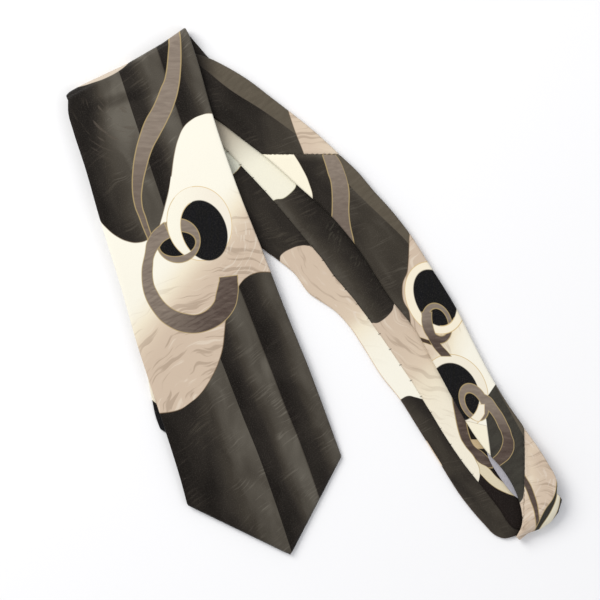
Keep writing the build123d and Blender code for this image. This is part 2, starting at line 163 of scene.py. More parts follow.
# ---------------------------------------------------------------- plan shapes of the leaves
FOLD_LEFT = BLADE_FOLD.foot(-45.6)
FOLD_RIGHT = BLADE_FOLD.foot(43.7)
FOLD_BOW = [(0, -1.6), (0.04, -0.5), (0.12, -0.5), (0.33, -1.5), (0.5, -2.5), (0.8, -1.9), (1, 0)]
TAIL_FOLD_LEFT = TAIL_FOLD.foot(-19.0)
TAIL_FOLD_RIGHT = TAIL_FOLD.foot(19.0)
TURN_LEFT = np.array([131.0, -159.9])
TURN_RIGHT = np.array([157.0, -131.4])
TURN_OUTWARD = np.array([0.674, -0.739])
TURN_BOW = [(0, 0), (0.18, 0.4), (0.4, 4.2), (0.6, 5.6), (0.8, 4.4), (1, 0)]
TURN_RADII = (2.6, 4.9)
FLAT_BOW = [(0, 0), (1, 0)]

FRONT_TIP = np.array([-15.9, -171.0])
FRONT_LEFT_EDGE = [(-83.0, -138.5), (-86.1, -126.6), (-97.6, -89.2), (-107.3, -59.5), (-116.0, -32.2),
                   (-124.7, -1.0), (-139.8, 48.4), (-148.5, 79.0), (-156.6, 104.0), (-159.6, 115.0),
                   FOLD_LEFT]
FRONT_RIGHT_EDGE = [(17.2, -106.9), (7.2, -79.4), (-4.0, -49.5), (-16.6, -18.5), (-33.9, 26.3),
                    (-49.1, 64.5), (-66.4, 115.4), (-75.1, 146.6), FOLD_RIGHT]
FRONT_SIDE = [(0, 0), (50, 0), (110, -0.7), (160, -3.4), (205, -4.9), (245, -5.3), (272, -7.0), (300, -8.7),
              (340, -8.7)]

UNDER_LEFT_EDGE = [FOLD_LEFT, (-97.0, 76.0), (-35.0, 28.0), (-23.5, 19.6), (-13.6, 11.6), (-2.3, -2.9),
                   (3.6, -6.8), (13.3, -13.3), (23.5, -24.4), (31.4, -36.3), (43.9, -56.2), (56.0, -71.4),
                   (64.9, -85.5), (79.4, -108.7), (97.4, -136.8), (110.8, -152.6), (117.5, -159.3),
                   (123.5, -161.6), TURN_LEFT]
UNDER_RIGHT_EDGE = [FOLD_RIGHT, (-67.0, 149.5), (-32.0, 118.0), (12.0, 72.0), (47.0, 28.0), (86.0, -32.0),
                    (114.0, -78.0), (136.0, -108.0), TURN_RIGHT]
UNDER_SEAM = [(-128.0, 150.0), (-90.0, 122.0), (-59.2, 93.1), (-47.6, 81.3), (-26.5, 58.5), (-9.4, 38.0),
              (10.5, 13.1), (36.6, -20.5), (56.5, -49.1), (70.4, -71.0), (95.2, -110.2), (112.8, -132.3),
              (124.3, -147.8), (136.0, -163.0)]

NECK_LEFT_EDGE = [TURN_LEFT, (134.3, -153.5), (135.2, -146.8), (133.3, -137.0), (127.3, -123.4),
                  (121.2, -114.5), (113.4, -106.0), (103.4, -92.6), (97.2, -82.6), (78.8, -49.1),
                  (64.0, -22.9), (52.8, -9.2), (25.4, 31.8), (11.7, 48.0), (-9.4, 67.3), (-31.0, 86.5),
                  (-46.1, 98.1), (-62.9, 110.8), TAIL_FOLD_LEFT]
NECK_RIGHT_EDGE = [TURN_RIGHT, (157.1, -124.0), (151.0, -111.5), (145.6, -102.8), (137.5, -91.3),
                   (123.6, -71.2), (114.9, -56.5), (102.5, -32.8), (92.6, -12.9), (75.1, 15.7),
                   (60.6, 38.2), (48.8, 53.1), (38.8, 64.0), (27.4, 77.5), (18.9, 85.5), (-1.6, 104.3),
                   (-17.2, 116.7), (-27.6, 124.7), (-44.5, 137.5), (-57.5, 145.3), (-67.5, 150.3),
                   TAIL_FOLD_RIGHT]
NECK_DROP = 82.0

TAIL_TIP = np.array([-74.0, -105.5])
TAIL_LEFT_EDGE = [TAIL_FOLD_LEFT, (-118.5, 110.0), (-114.8, 46.0), (-110.5, -20.0), (-108.2, -58.8),
                  (-105.8, -71.2), (-102.9, -84.0), (-101.0, -88.9)]
TAIL_RIGHT_EDGE = [TAIL_FOLD_RIGHT, (-80.5, 110.0), (-76.5, 46.0), (-66.4, -48.6), (-57.3, -77.7)]
TAIL_SIDE = [(0, 0), (30, 0), (60, -0.7), (95, -2.8), (130, -5.2), (150, -5.8), (180, -5.8), (340, -5.8)]

BLADE_NECK_SEAM_X = 135.8
NECK_TAIL_SEAM_Y = 88.5

# The open backs of the two tips, measured along the strip from the tip's edge
FRONT_OPENING = {"hem": 10.0, "tack": 60.0, "share": 0.15}
TAIL_OPENING = {"hem": 6.0, "tack": 26.0, "share": 0.22}


# ---------------------------------------------------------------- stations
class Strip:
    """Stations along the tie: two edges, the way the face looks, and where the print lies on the cloth."""

    def __init__(self, left, right, face, left_print, right_print, bow=None, bow_line=FLAT_BOW):
        self.left, self.right, self.face = left, right, face
        self.left_print, self.right_print = left_print, right_print
        self.bow = np.zeros_like(left) if bow is None else bow
        self.bow_print = self.bow[:, :2]
        self.bow_line = bow_line
        self.seam = np.full(len(left), 0.5)
        self.tip_weight = np.zeros(len(left))
        self.tip_reach = np.zeros(3)

    def __len__(self):
        return len(self.left)

    def widths(self):
        return np.linalg.norm(self.right - self.left, axis=1)

    def travelled(self):
        """Distance along the middle of the strip at each station."""
        return lengths((self.left + self.right) / 2)

    def then(self, other):
        """This strip followed by another one, which starts where it ends."""
        parts = [np.concatenate((a, b[1:])) for a, b in ((self.left, other.left), (self.right, other.right),
                                                         (self.face, other.face),
                                                         (self.left_print, other.left_print),
                                                         (self.right_print, other.right_print),
                                                         (self.bow, other.bow))]
        line = self.bow_line if self.bow.any() else other.bow_line
        whole = Strip(*parts, line)
        whole.bow_print = np.concatenate((self.bow_print, other.bow_print[1:]))
        whole.seam = np.concatenate((self.seam, other.seam[1:]))
        whole.tip_weight = np.concatenate((self.tip_weight, other.tip_weight[1:]))
        whole.tip_reach = self.tip_reach + other.tip_reach
        return whole

    def tip_shape(self, share):
        """How far towards the tip each place across the strip goes."""
        return 1 - np.abs(2 * np.clip(share, 0, 1) - 1)

    def place(self, stations, share, height, ripple=None):
        """Points at shares across the strip and heights over its middle, for some stations."""
        share = share[..., None]
        left, right, face = (a[stations][:, None, :] for a in (self.left, self.right, self.face))
        bow = np.interp(share[..., 0], *zip(*self.bow_line))[..., None]
        points = left + (right - left) * share + face * height[..., None]
        points = points + self.bow[stations][:, None, :] * bow
        weight = self.tip_weight[stations][:, None, None]
        points = points + weight * self.tip_shape(share) * self.tip_reach
        if ripple is not None:
            points = points + face * ripple(points)[..., None]
        return points

    def print_place(self, stations, share):
        """Where the print lies, for shares across the cloth that may run on round the edges."""
        bow = np.interp(share, *zip(*self.bow_line))[..., None]
        share = share[..., None]
        left, right, out = (a[stations][:, None, :] for a in (self.left_print, self.right_print,
                                                              self.bow_print))
        left, right = left + out * bow, right + out * bow
        weight = self.tip_weight[stations][:, None, None]
        return left + (right - left) * share + weight * self.tip_shape(share) * self.tip_reach[:2]


def leaf(left_edge, right_edge, left_height, right_height, facing):
    """A flat run between two plan edges, at heights that depend on the plan place."""
    length = max(lengths(np.array(edge, float))[-1] for edge in (left_edge, right_edge))
    count = int(length / STATION_STEP) + 1
    left, right = trace(left_edge, count), trace(right_edge, count)
    face = np.tile([0.0, 0.0, facing], (count, 1))
    return Strip(np.column_stack((left, left_height(left))), np.column_stack((right, right_height(right))),
                 face, left, right)


def roll(feet, outward, radii, base, start, end, inside, print_start, bow_line=FLAT_BOW):
    """A half-turn past a fold. Angles are from the way out, inside says that the face looks inwards.

    The print goes on as seen from the side where it starts, and then on outwards round the back."""
    angle = np.linspace(start, end, ROLL_STATIONS)[:, None]
    out = np.append(outward, 0.0)
    up = np.array([0.0, 0.0, 1.0])
    turned = out * np.cos(angle) + up * np.sin(angle)
    gone = np.abs(angle - print_start)
    reach = np.where(gone < HALF_TURN, np.sin(gone), 2 - np.sin(gone))
    edges, prints = [], []
    for foot, radius in zip(feet, radii):
        edges.append(np.append(foot, base + radius) + radius * turned)
        prints.append(foot + outward * radius * reach)
    strip = Strip(*edges, -turned if inside else turned, *prints, out * np.cos(angle), bow_line)
    strip.bow_print = outward * reach
    return strip


def tip(strip, point, end):
    """Draws one end of a strip out to a point."""
    travelled = strip.travelled()
    away = travelled if end == 0 else travelled[-1] - travelled
    strip.tip_weight = ease(1 - away / (TIP_SHARE * travelled[-1]))
    middle = (strip.left[end] + strip.right[end]) / 2
    strip.tip_reach = np.append(point, middle[2]) - middle


def seam_shares(strip, line):
    """Share across each station at which a plan line crosses it."""
    fine = trace(line, FINE_RUNS * len(line))
    shares = []
    for left, right in zip(strip.left[:, :2], strip.right[:, :2]):
        across = right - left
        reach = fine - left
        side = across[0] * reach[:, 1] - across[1] * reach[:, 0]
        crossing = np.argmax(side[:-1] * side[1:] <= 0)
        shares.append(reach[crossing] @ across / (across @ across))
    shares = np.clip(shares, SEAM_MARGIN, 1 - SEAM_MARGIN)
    even = np.ones(SEAM_SMOOTHING) / SEAM_SMOOTHING
    return np.convolve(np.pad(shares, SEAM_SMOOTHING // 2, "edge"), even, "valid")


def side_height(fold, top, line):
    """Height over a plan place, from a fold's side line."""
    places, drops = zip(*line)
    return lambda plan: top + hermite(places, drops, fold.depth(plan))


def neck_height(foot, top):
    """Height of the neck leaf: it comes down from the top of the turn."""
    return lambda plan: (NECK_HEIGHT + (top - NECK_HEIGHT)
                         * ease(1 - (foot - plan) @ TURN_OUTWARD / NECK_DROP))


def flat(height):
    return lambda plan: np.full(len(plan), height)


HALF_TURN = math.pi / 2
front_height = side_height(BLADE_FOLD, FRONT_HEIGHT, FRONT_SIDE)
tail_height = side_height(TAIL_FOLD, TAIL_HEIGHT, TAIL_SIDE)
turn_tops = [UNDER_HEIGHT + 2 * radius for radius in TURN_RADII]

front_leaf = leaf(FRONT_LEFT_EDGE, FRONT_RIGHT_EDGE, front_height, front_height, 1.0)
tip(front_leaf, FRONT_TIP, 0)
fold_radius = (FRONT_HEIGHT - UNDER_HEIGHT) / 2
top_roll = roll((FOLD_LEFT, FOLD_RIGHT), -BLADE_FOLD.inward, (fold_radius, fold_radius), UNDER_HEIGHT,
                HALF_TURN, -HALF_TURN, False, HALF_TURN, FOLD_BOW)
under_leaf = leaf(UNDER_LEFT_EDGE, UNDER_RIGHT_EDGE, flat(UNDER_HEIGHT), flat(UNDER_HEIGHT), -1.0)
under_leaf.seam = seam_shares(under_leaf, UNDER_SEAM)
turn_roll = roll((TURN_LEFT, TURN_RIGHT), TURN_OUTWARD, TURN_RADII, UNDER_HEIGHT,
                 -HALF_TURN, HALF_TURN, False, HALF_TURN, TURN_BOW)
turn_roll.seam[:] = under_leaf.seam[-1]
neck_leaf = leaf(NECK_LEFT_EDGE, NECK_RIGHT_EDGE, neck_height(TURN_LEFT, turn_tops[0]),
                 neck_height(TURN_RIGHT, turn_tops[1]), 1.0)
neck_leaf.seam += (under_leaf.seam[-1] - 0.5) * ease(1 - neck_leaf.travelled() / NECK_DROP)
inner_radius = (TAIL_HEIGHT - NECK_HEIGHT) / 2
inner_roll = roll((TAIL_FOLD_LEFT, TAIL_FOLD_RIGHT), -TAIL_FOLD.inward, (inner_radius, inner_radius),
                  NECK_HEIGHT, -HALF_TURN, HALF_TURN, True, -HALF_TURN)
tail_leaf = leaf(TAIL_LEFT_EDGE, TAIL_RIGHT_EDGE, tail_height, tail_height, -1.0)
tip(tail_leaf, TAIL_TIP, -1)


def print_beyond(strip, fold, radius):
    """Lays a folded-back leaf's print on from the other side of its fold."""
    for line in (strip.left_print, strip.right_print):
        line -= (2 * fold.depth(line) + 2 * radius)[:, None] * fold.inward


print_beyond(tail_leaf, TAIL_FOLD, inner_radius)

front_strip = front_leaf.then(top_roll)
tail_strip = inner_roll.then(tail_leaf)


# ---------------------------------------------------------------- relief
SWELL_SPANS = (55, 17)
FINE_SWELL = 0.4


def swell(seed, size=0.16):
    """Gentle unevenness of a laid leaf, in millimetres of height at plan places."""
    def height(points):
        flat_points = points.reshape(-1, 3)
        low, fine = ([noise.noise(Vector((x / span, y / span, level))) for x, y, _ in flat_points]
                     for span, level in zip(SWELL_SPANS, (seed, seed + 7)))
        return (size * np.array(low) + FINE_SWELL * size * np.array(fine)).reshape(points.shape[:-1])
    return height


def crease(start, end, width, depth):
    """A fold line in the cloth that fades towards both ends."""
    start, end = np.array(start), np.array(end)
    run = end - start
    def height(points):
        along = np.clip((points[..., :2] - start) @ run / (run @ run), 0, 1)
        gap = np.linalg.norm(points[..., :2] - start - along[..., None] * run, axis=-1)
        return depth * np.exp(-(gap / width) ** 2) * np.sin(math.pi * np.clip(along, 0.02, 0.98)) ** 0.5
    return height


def all_of(*heights):
    return lambda points: sum(height(points) for height in heights)


BLADE_RIPPLE = swell(1.0)
TAIL_RIPPLE = swell(9.0, 0.12)
NECK_RIPPLE = all_of(
    swell(3.0),
    crease((-70, 140), (-48, 122), 1.6, 0.5),
    crease((-66, 132), (-50, 112), 1.3, -0.45),
    crease((-72, 146), (-56, 134), 1.4, -0.4),
    crease((-62, 128), (-52, 108), 1.2, 0.35),
)
UNDER_RIPPLE = all_of(
    swell(5.0, 0.14),
    crease((-48, 98), (-41, 94), 1.0, -0.25),
    crease((-20, 10), (-30, 24), 1.6, -0.3),
    crease((64, -98), (70, -84), 1.8, -0.25),
    crease((98, -128), (112, -146), 2.2, -0.3),
    crease((106, -132), (120, -150), 1.6, -0.25),
)


# ---------------------------------------------------------------- meshes
def section(strip, wrapped, opening, end):
    """Share across, height and print share of every column at every station, and where each zone starts."""
    width = strip.widths()[:, None]
    inset = GAUGE / 2 / width
    round_edge = math.pi * GAUGE / 2 / width
    seam = strip.seam[:, None]
    left_end = seam + LAP_WIDTH / width
    right_end = seam.copy()
    lap = np.ones_like(seam)
    if opening:
        travelled = strip.travelled()
        away = (travelled if end == 0 else travelled[-1] - travelled)[:, None]
        closing = (away - opening["hem"]) / (opening["tack"] - opening["hem"])
        opened = opening["share"] + (0.5 - opening["share"]) * closing
        share = np.where(away < opening["hem"], 0.5, np.minimum(opened, 0.5))
        left_end = np.where(away < opening["tack"], share, left_end)
        right_end = np.where(away < opening["tack"], 1 - share, right_end)
        lap = ease((away - opening["tack"]) / LAP_FADE)
    t = np.linspace(0, 1, FLAP_COLUMNS)[None, :]
    turn = np.linspace(-HALF_TURN, HALF_TURN, EDGE_COLUMNS + 2)[None, 1:-1]
    across = np.linspace(0, 1, FRONT_COLUMNS + 1)[None, :]
    shares, heights, prints = [], [], []

    share = left_end + (inset - left_end) * t
    shares.append(share)
    heights.append(np.full_like(share, -GAUGE / 2))
    prints.append(2 * inset - round_edge - share if wrapped else share)

    shares.append(inset * (1 - np.cos(turn)))
    heights.append(np.broadcast_to(GAUGE / 2 * np.sin(turn), shares[-1].shape))
    prints.append(inset - GAUGE / 2 * (HALF_TURN - turn) / width if wrapped else shares[-1])

    share = inset + (1 - 2 * inset) * across
    shares.append(share)
    heights.append(np.full_like(share, GAUGE / 2))
    prints.append(share)

    turn = turn[:, ::-1]
    shares.append(1 - inset * (1 - np.cos(turn)))
    heights.append(np.broadcast_to(GAUGE / 2 * np.sin(turn), shares[-1].shape))
    prints.append(1 - inset + GAUGE / 2 * (HALF_TURN - turn) / width if wrapped else shares[-1])

    share = 1 - inset + (right_end - 1 + inset) * t
    shares.append(share)
    heights.append(-GAUGE / 2 - lap * LAP_RISE * ease(1 - (share - right_end) * width / LAP_RAMP))
    prints.append(2 * (1 - inset) + round_edge - share if wrapped else share)

    zones = ["left_flap"] * FLAP_COLUMNS + ["left_edge"] * EDGE_COLUMNS + ["face"] * (FRONT_COLUMNS + 1)
    zones += ["right_edge"] * (EDGE_COLUMNS + 1) + ["right_flap"] * (FLAP_COLUMNS - 1)
    return np.hstack(shares), np.hstack(heights), np.hstack(prints), zones


def add_grid(mesh, points, prints, slots):
    """Adds a grid of points as quads, with its print places, one material slot to a column."""
    layer = mesh.loops.layers.uv.verify()
    rows, columns = points.shape[:2]
    verts = [[mesh.verts.new(points[i, j] * MM) for j in range(columns)] for i in range(rows)]
    for i in range(rows - 1):
        for j in range(columns - 1):
            corners = ((i, j), (i, j + 1), (i + 1, j + 1), (i + 1, j))
            quad = mesh.faces.new([verts[a][b] for a, b in corners])
            quad.material_index = slots[j]
            for loop, (a, b) in zip(quad.loops, corners):
                loop[layer].uv = prints[a, b] * MM
    return verts


def close_tip(mesh, strip, verts, shares, prints, slot, end):
    """Rounds a tip's edge over from the face to the turned-in hem."""
    layer = mesh.loops.layers.uv.verify()
    first_face = FLAP_COLUMNS + EDGE_COLUMNS
    first_right = first_face + FRONT_COLUMNS + 1 + EDGE_COLUMNS
    face = list(range(first_face, first_face + FRONT_COLUMNS + 1))
    half = FRONT_COLUMNS // 2
    back = [half - q if q <= half else first_right + FRONT_COLUMNS - q for q in range(FRONT_COLUMNS + 1)]
    station = [end % len(strip)]
    middle = strip.place(station, shares[station][:, face], np.zeros((1, len(face))))[0]
    inward = strip.left[station[0] + (1 if end == 0 else -1)] - strip.left[station[0]]
    outward = np.gradient(middle, axis=0)[:, [1, 0, 2]] * [1, -1, 0]
    outward /= np.linalg.norm(outward, axis=1)[:, None]
    outward *= -np.sign(outward @ inward)[:, None]
    rim = [mesh.verts.new(p * MM) for p in middle + outward * GAUGE / 2]
    row = verts[end]
    where = prints[end]

    def quad(corners, columns):
        made = mesh.faces.new(corners)
        made.material_index = slot
        for loop, column in zip(made.loops, columns):
            loop[layer].uv = where[column] * MM

    for q in range(FRONT_COLUMNS):
        a, b = face[q], face[q + 1]
        quad((row[b], row[a], rim[q], rim[q + 1]), (b, a, a, b))
        low_a = back[q] if q != half else first_right + FRONT_COLUMNS - q
        quad((rim[q + 1], rim[q], row[low_a], row[back[q + 1]]), (b, a, a, b))
    left_round = [row[c] for c in range(FLAP_COLUMNS - 1, first_face + 1)]
    right_round = [row[c] for c in range(face[-1], first_right + 1)]
    for ring, corner in ((left_round, rim[0]), (right_round, rim[-1])):
        for one, two in zip(ring, ring[1:]):
            quad((one, two, corner), (face[0],) * 3 if corner is rim[0] else (face[-1],) * 3)


def wrapped_cloth(strip, slots, ripple=None, wrapped=True, opening=None, end=0):
    """Mesh of the cloth wrapped round a strip, lapped along its back seam."""
    shares, heights, print_shares, zones = section(strip, wrapped, opening, end)
    stations = np.arange(len(strip))
    points = strip.place(stations, shares, heights, ripple)
    prints = strip.print_place(stations, print_shares)
    mesh = bmesh.new()
    columns = [slots[zone] for zone in zones]
    verts = add_grid(mesh, points, prints, columns)
    if opening:
        close_tip(mesh, strip, verts, shares, prints, slots["face"], end)
        bmesh.ops.remove_doubles(mesh, verts=mesh.verts, dist=SAME_PLACE * MM)
    mesh.normal_update()
    return mesh


def kept_side(mesh, point, normal):
    """Cuts a mesh at a plane, keeps what is in front, and turns the cut edge in a little as a seam does."""
    parts = list(mesh.verts) + list(mesh.edges) + list(mesh.faces)
    bmesh.ops.bisect_plane(mesh, geom=parts, plane_co=point, plane_no=normal, clear_inner=True)
    mesh.normal_update()
    for vert in mesh.verts:
        if abs((vert.co - Vector(point)).dot(Vector(normal))) < CUT_REACH * MM:
            vert.co -= vert.normal * SEAM_DIP * MM
    return mesh


def made(mesh, name, materials, thickness=CLOTH):
    """Turns a bmesh into a finished object with real cloth thickness."""
    bmesh.ops.recalc_face_normals(mesh, faces=mesh.faces)
    data = bpy.data.meshes.new(name)
    mesh.to_mesh(data)
    mesh.free()
    for polygon in data.polygons:
        polygon.use_smooth = True
    for material in materials:
        data.materials.append(material)
    piece = bpy.data.objects.new(name, data)
    bpy.context.scene.collection.objects.link(piece)
    if thickness:
        solid = piece.modifiers.new("thickness", "SOLIDIFY")
        solid.thickness = thickness * MM
        solid.offset = -1
        bake_modifiers(piece)
    return piece


def bake_modifiers(piece):
    """Makes the shape that the modifiers give the piece's own mesh."""
    graph = bpy.context.evaluated_depsgraph_get()
    data = bpy.data.meshes.new_from_object(piece.evaluated_get(graph))
    piece.modifiers.clear()
    piece.data = data


def threads(name, lines, radius, material):
    """Many short sewing threads as one piece, each a bent round tube with closed ends."""
    mesh = bmesh.new()
    mesh.loops.layers.uv.verify()
    sides = 7
    for line in lines:
        line = [Vector(point) for point in line]
        rings = []
        for k, point in enumerate(line):
            heading = (line[min(k + 1, len(line) - 1)] - line[max(k - 1, 0)]).normalized()
            aside = heading.cross(Vector((0, 0, 1)))
            aside = aside.normalized() if aside.length > 0.01 else Vector((1, 0, 0))
            over = aside.cross(heading)
            size = radius * (0.55 if k in (0, len(line) - 1) else 1.0)
            angles = [2 * math.pi * s / sides for s in range(sides)]
            rings.append([mesh.verts.new((point + size * (aside * math.cos(a) + over * math.sin(a))) * MM)
                          for a in angles])
        for one, two in zip(rings, rings[1:]):
            for s in range(sides):
                mesh.faces.new((one[s], one[(s + 1) % sides], two[(s + 1) % sides], two[s]))
        mesh.faces.new(list(reversed(rings[0])))
        mesh.faces.new(rings[-1])
    return made(mesh, name, [material], 0)


# ---------------------------------------------------------------- material writing
# GAIN and HAZE undo what this scene's light does to a colour, so that a code gives the shade that is seen.
# Lengths on the cloth are in millimetres.
GAIN = 1.18
HAZE = 0.009
WEAVE_DEPTH = 0.04
SPECKLE = "#b5aca0"
LINE_STRENGTH = 0.8
LINE_CORE = 0.35


def colour(code):
    """Surface colour that shows as a #rrggbb shade under this scene's light."""
    parts = [int(code[i:i + 2], 16) / 255 for i in (1, 3, 5)]
    shown = [p / 12.92 if p <= 0.04045 else ((p + 0.055) / 1.055) ** 2.4 for p in parts]
    return (*[max(0.002, (s - HAZE) / GAIN) for s in shown], 1.0)


class Value:
    """A number that a material works out at each point, written as plain arithmetic."""

    def __init__(self, graph, socket):
        self.graph, self.socket = graph, socket

    def __add__(self, other):
        return self.graph.math("ADD", self, other)

    def __sub__(self, other):
        return self.graph.math("SUBTRACT", self, other)

    def __rsub__(self, other):
        return self.graph.math("SUBTRACT", other, self)

    def __mul__(self, other):
        return self.graph.math("MULTIPLY", self, other)

    def __truediv__(self, other):
        return self.graph.math("DIVIDE", self, other)

    def __neg__(self):
        return self * -1.0

    def size(self):
        return self.graph.math("ABSOLUTE", self)

    __radd__ = __add__
    __rmul__ = __mul__


class Graph:
    """One material's nodes. Places on the cloth are in millimetres."""

    def __init__(self, name):
        self.material = bpy.data.materials.new(name)
        self.material.use_nodes = True
        self.tree = self.material.node_tree
        self.shader = self.tree.nodes["Principled BSDF"]
        place = self.node("ShaderNodeUVMap")
        scaled = self.node("ShaderNodeVectorMath", operation="SCALE")
        scaled.inputs["Scale"].default_value = 1 / MM
        self.tree.links.new(place.outputs[0], scaled.inputs[0])
        split = self.node("ShaderNodeSeparateXYZ")
        self.tree.links.new(scaled.outputs[0], split.inputs[0])
        self.x = Value(self, split.outputs[0])
        self.y = Value(self, split.outputs[1])

    def node(self, kind, **settings):
        node = self.tree.nodes.new(kind)
        for name, value in settings.items():
            setattr(node, name, value)
        return node

    def plug(self, value, socket):
        if isinstance(value, Value):
            self.tree.links.new(value.socket, socket)
        else:
            socket.default_value = value

    def math(self, operation, *values):
        node = self.node("ShaderNodeMath", operation=operation)
        for value, socket in zip(values, node.inputs):
            self.plug(value, socket)
        return Value(self, node.outputs[0])

    def low(self, *values):
        return functools.reduce(lambda one, two: self.math("MINIMUM", one, two), values)

    def high(self, *values):
        return functools.reduce(lambda one, two: self.math("MAXIMUM", one, two), values)

    def rise(self, value, start, end):
        """0 to 1, softly, as a value goes from start to end."""
        node = self.node("ShaderNodeMapRange", interpolation_type="SMOOTHSTEP")
        self.plug(value, node.inputs["Value"])
        node.inputs["From Min"].default_value = start
        node.inputs["From Max"].default_value = end
        return Value(self, node.outputs[0])

    def inside(self, distance, blur=0.22):
        """Share of cover where a distance is below nought."""
        return self.rise(distance, blur, -blur)

    def line(self, value, points):
        """A smooth line through a few points, as one number from another."""
        places, results = zip(*points)
        low, span = min(results), max(max(results) - min(results), 1e-6)
        node = self.node("ShaderNodeFloatCurve")
        curve = node.mapping.curves[0]
        for k, (place, result) in enumerate(points):
            spot = ((place - places[0]) / (places[-1] - places[0]), (result - low) / span)
            if k < 2:
                curve.points[k].location = spot
            else:
                curve.points.new(*spot)
        node.mapping.extend = "HORIZONTAL"
        node.mapping.update()
        self.plug(self.math("DIVIDE", value - places[0], places[-1] - places[0]), node.inputs["Value"])
        return Value(self, node.outputs[0]) * span + low

    def turned(self, centre, angle):
        """Place measured from a centre, along axes turned by an angle in degrees."""
        c, s = math.cos(math.radians(angle)), math.sin(math.radians(angle))
        x, y = self.x - centre[0], self.y - centre[1]
        return x * c + y * s, y * c - x * s

    def oval(self, centre, size, angle=0.0):
        """Rough distance outside an oval."""
        x, y = self.turned(centre, angle)
        x, y = x / size[0], y / size[1]
        return (self.math("SQRT", x * x + y * y) - 1.0) * min(size)

    def polar(self, centre):
        """Distance from a centre, and bearing in degrees from 0 to 360."""
        x, y = self.x - centre[0], self.y - centre[1]
        bearing = self.math("MULTIPLY", self.math("ARCTAN2", y, x), 180 / math.pi)
        return self.math("SQRT", x * x + y * y), self.math("WRAP", bearing, 360.0, 0.0)

    def noise(self, x, y, detail=2.0, twist=0.0):
        """Noise around nought, of about one unit from top to bottom."""
        joined = self.node("ShaderNodeCombineXYZ")
        self.plug(x, joined.inputs[0])
        self.plug(y, joined.inputs[1])
        node = self.node("ShaderNodeTexNoise")
        self.tree.links.new(joined.outputs[0], node.inputs["Vector"])
        node.inputs["Scale"].default_value = 1.0
        node.inputs["Detail"].default_value = detail
        node.inputs["Distortion"].default_value = twist
        return (Value(self, node.outputs[0]) - 0.5) * 2.0

    def mix(self, share, one, two):
        node = self.node("ShaderNodeMix", data_type="RGBA")
        self.plug(share, node.inputs[0])
        self.plug(one, node.inputs[6])
        self.plug(two, node.inputs[7])
        return Value(self, node.outputs[2])

    def ramp(self, value, *stops):
        node = self.node("ShaderNodeValToRGB")
        elements = node.color_ramp.elements
        for k, (place, code) in enumerate(stops):
            element = elements[k] if k < 2 else elements.new(place)
            element.position = place
            element.color = colour(code)
        self.plug(value, node.inputs[0])
        return Value(self, node.outputs[0])

    def cover(self, below, distance, above, outline=0.0, outline_code="#b8a274", strength=LINE_STRENGTH):
        """Lays a shape over what is below, with a thin outline if wanted."""
        laid = self.mix(self.inside(distance), below, above)
        if outline:
            edge = self.rise(distance.size(), outline, outline * LINE_CORE) * strength
            laid = self.mix(edge, laid, colour(outline_code))
        return laid

    def rim(self, below, distance, where, width, code):
        """Draws a thin line at a distance of nought, where another distance is below nought."""
        edge = self.rise(distance.size(), width, width * LINE_CORE) * self.inside(where, 0.4) * LINE_STRENGTH
        return self.mix(edge, below, colour(code))

    def done(self, base, roughness=0.46, weave=0.5, bump=0.35):
        """Finishes the material as satin twill."""
        shader = self.shader
        specks = self.rise(self.noise(self.x / 0.7, self.y / 0.5, 1.0), 0.0, 0.5) * 0.06
        self.plug(self.mix(specks, base, colour(SPECKLE)), shader.inputs["Base Color"])
        grain = self.noise(self.x / 3.0, self.y / 0.8)
        self.plug(self.math("ADD", grain * 0.06, roughness), shader.inputs["Roughness"])
        shader.inputs["Specular IOR Level"].default_value = 0.12
        shader.inputs["Sheen Weight"].default_value = 0.05
        shader.inputs["Sheen Roughness"].default_value = 0.35
        ribs = self.math("SINE", (self.x * 0.7 + self.y) * (2 * math.pi / weave))
        cross = self.math("SINE", (self.x - self.y * 0.6) * (2 * math.pi / (weave * 1.6)))
        height = ribs * 0.5 + ribs * cross * 0.3 + self.noise(self.x / 6.0, self.y / 6.0, 3.0) * 0.8
        node = self.node("ShaderNodeBump")
        node.inputs["Strength"].default_value = bump
        node.inputs["Distance"].default_value = WEAVE_DEPTH * MM
        self.plug(height, node.inputs["Height"])
        self.tree.links.new(node.outputs[0], shader.inputs["Normal"])
        return self.material


# ---------------------------------------------------------------- printed silk
WOOD_OUTLINE = "#6d573c"
SEPIA_OUTLINE = "#7d6a55"
GOLD_OUTLINE = "#d9bd88"
UMBER_OUTLINE = "#4a3f36"
OVAL_OUTLINE = "#3c3428"
BAND_STEP = 28.3
SHOULDER_START, SHOULDER_END = 142.0, 186.5


def dark_ground(g, across, along, tone):
    """Olive charcoal with faint brush strokes across the strip. tone is 0 for the darkest part."""
    patches = g.noise(along / 34, across / 16, 2.0, 0.6)
    bent = across * 0.35 + g.noise(along / 30, across / 30) * 6.0
    strokes = g.rise(g.noise((along - bent) / 1.2, across / 22, 2.0, 0.5), 0.04, 0.36)
    strong = g.rise(g.noise(along / 20, across / 18, 1.0), -0.16, 0.3)
    level = tone + patches * 0.34 + strokes * strong * 0.25
    return g.ramp(level, (0.0, "#211e1b"), (0.3, "#302c28"), (0.55, "#413c35"), (0.8, "#555048"),
                  (1.0, "#69645b"))


def pale_ground(g, tan, centre, fine=1.0):
    """Cream that turns to tan, with curved brush strokes round a centre."""
    radius, bearing = g.polar(centre)
    drift = g.noise(g.x / 32, g.y / 32) * 11.0
    strokes = g.noise((radius + drift) / (2.9 * fine), bearing / 24, 2.0, 0.35)
    dark_strokes = g.rise(strokes, 0.10, 0.26)
    light_strokes = g.rise(strokes, -0.2, -0.4)
    base = g.ramp(tan, (0.0, "#fdf9ea"), (0.35, "#f5ead2"), (0.7, "#e1cfb8"), (1.0, "#d4c0ab"))
    marked = g.mix(dark_strokes * tan * 0.75, base, colour("#b39f8b"))
    return g.mix(light_strokes * tan * 0.45, marked, colour("#efe3d1"))


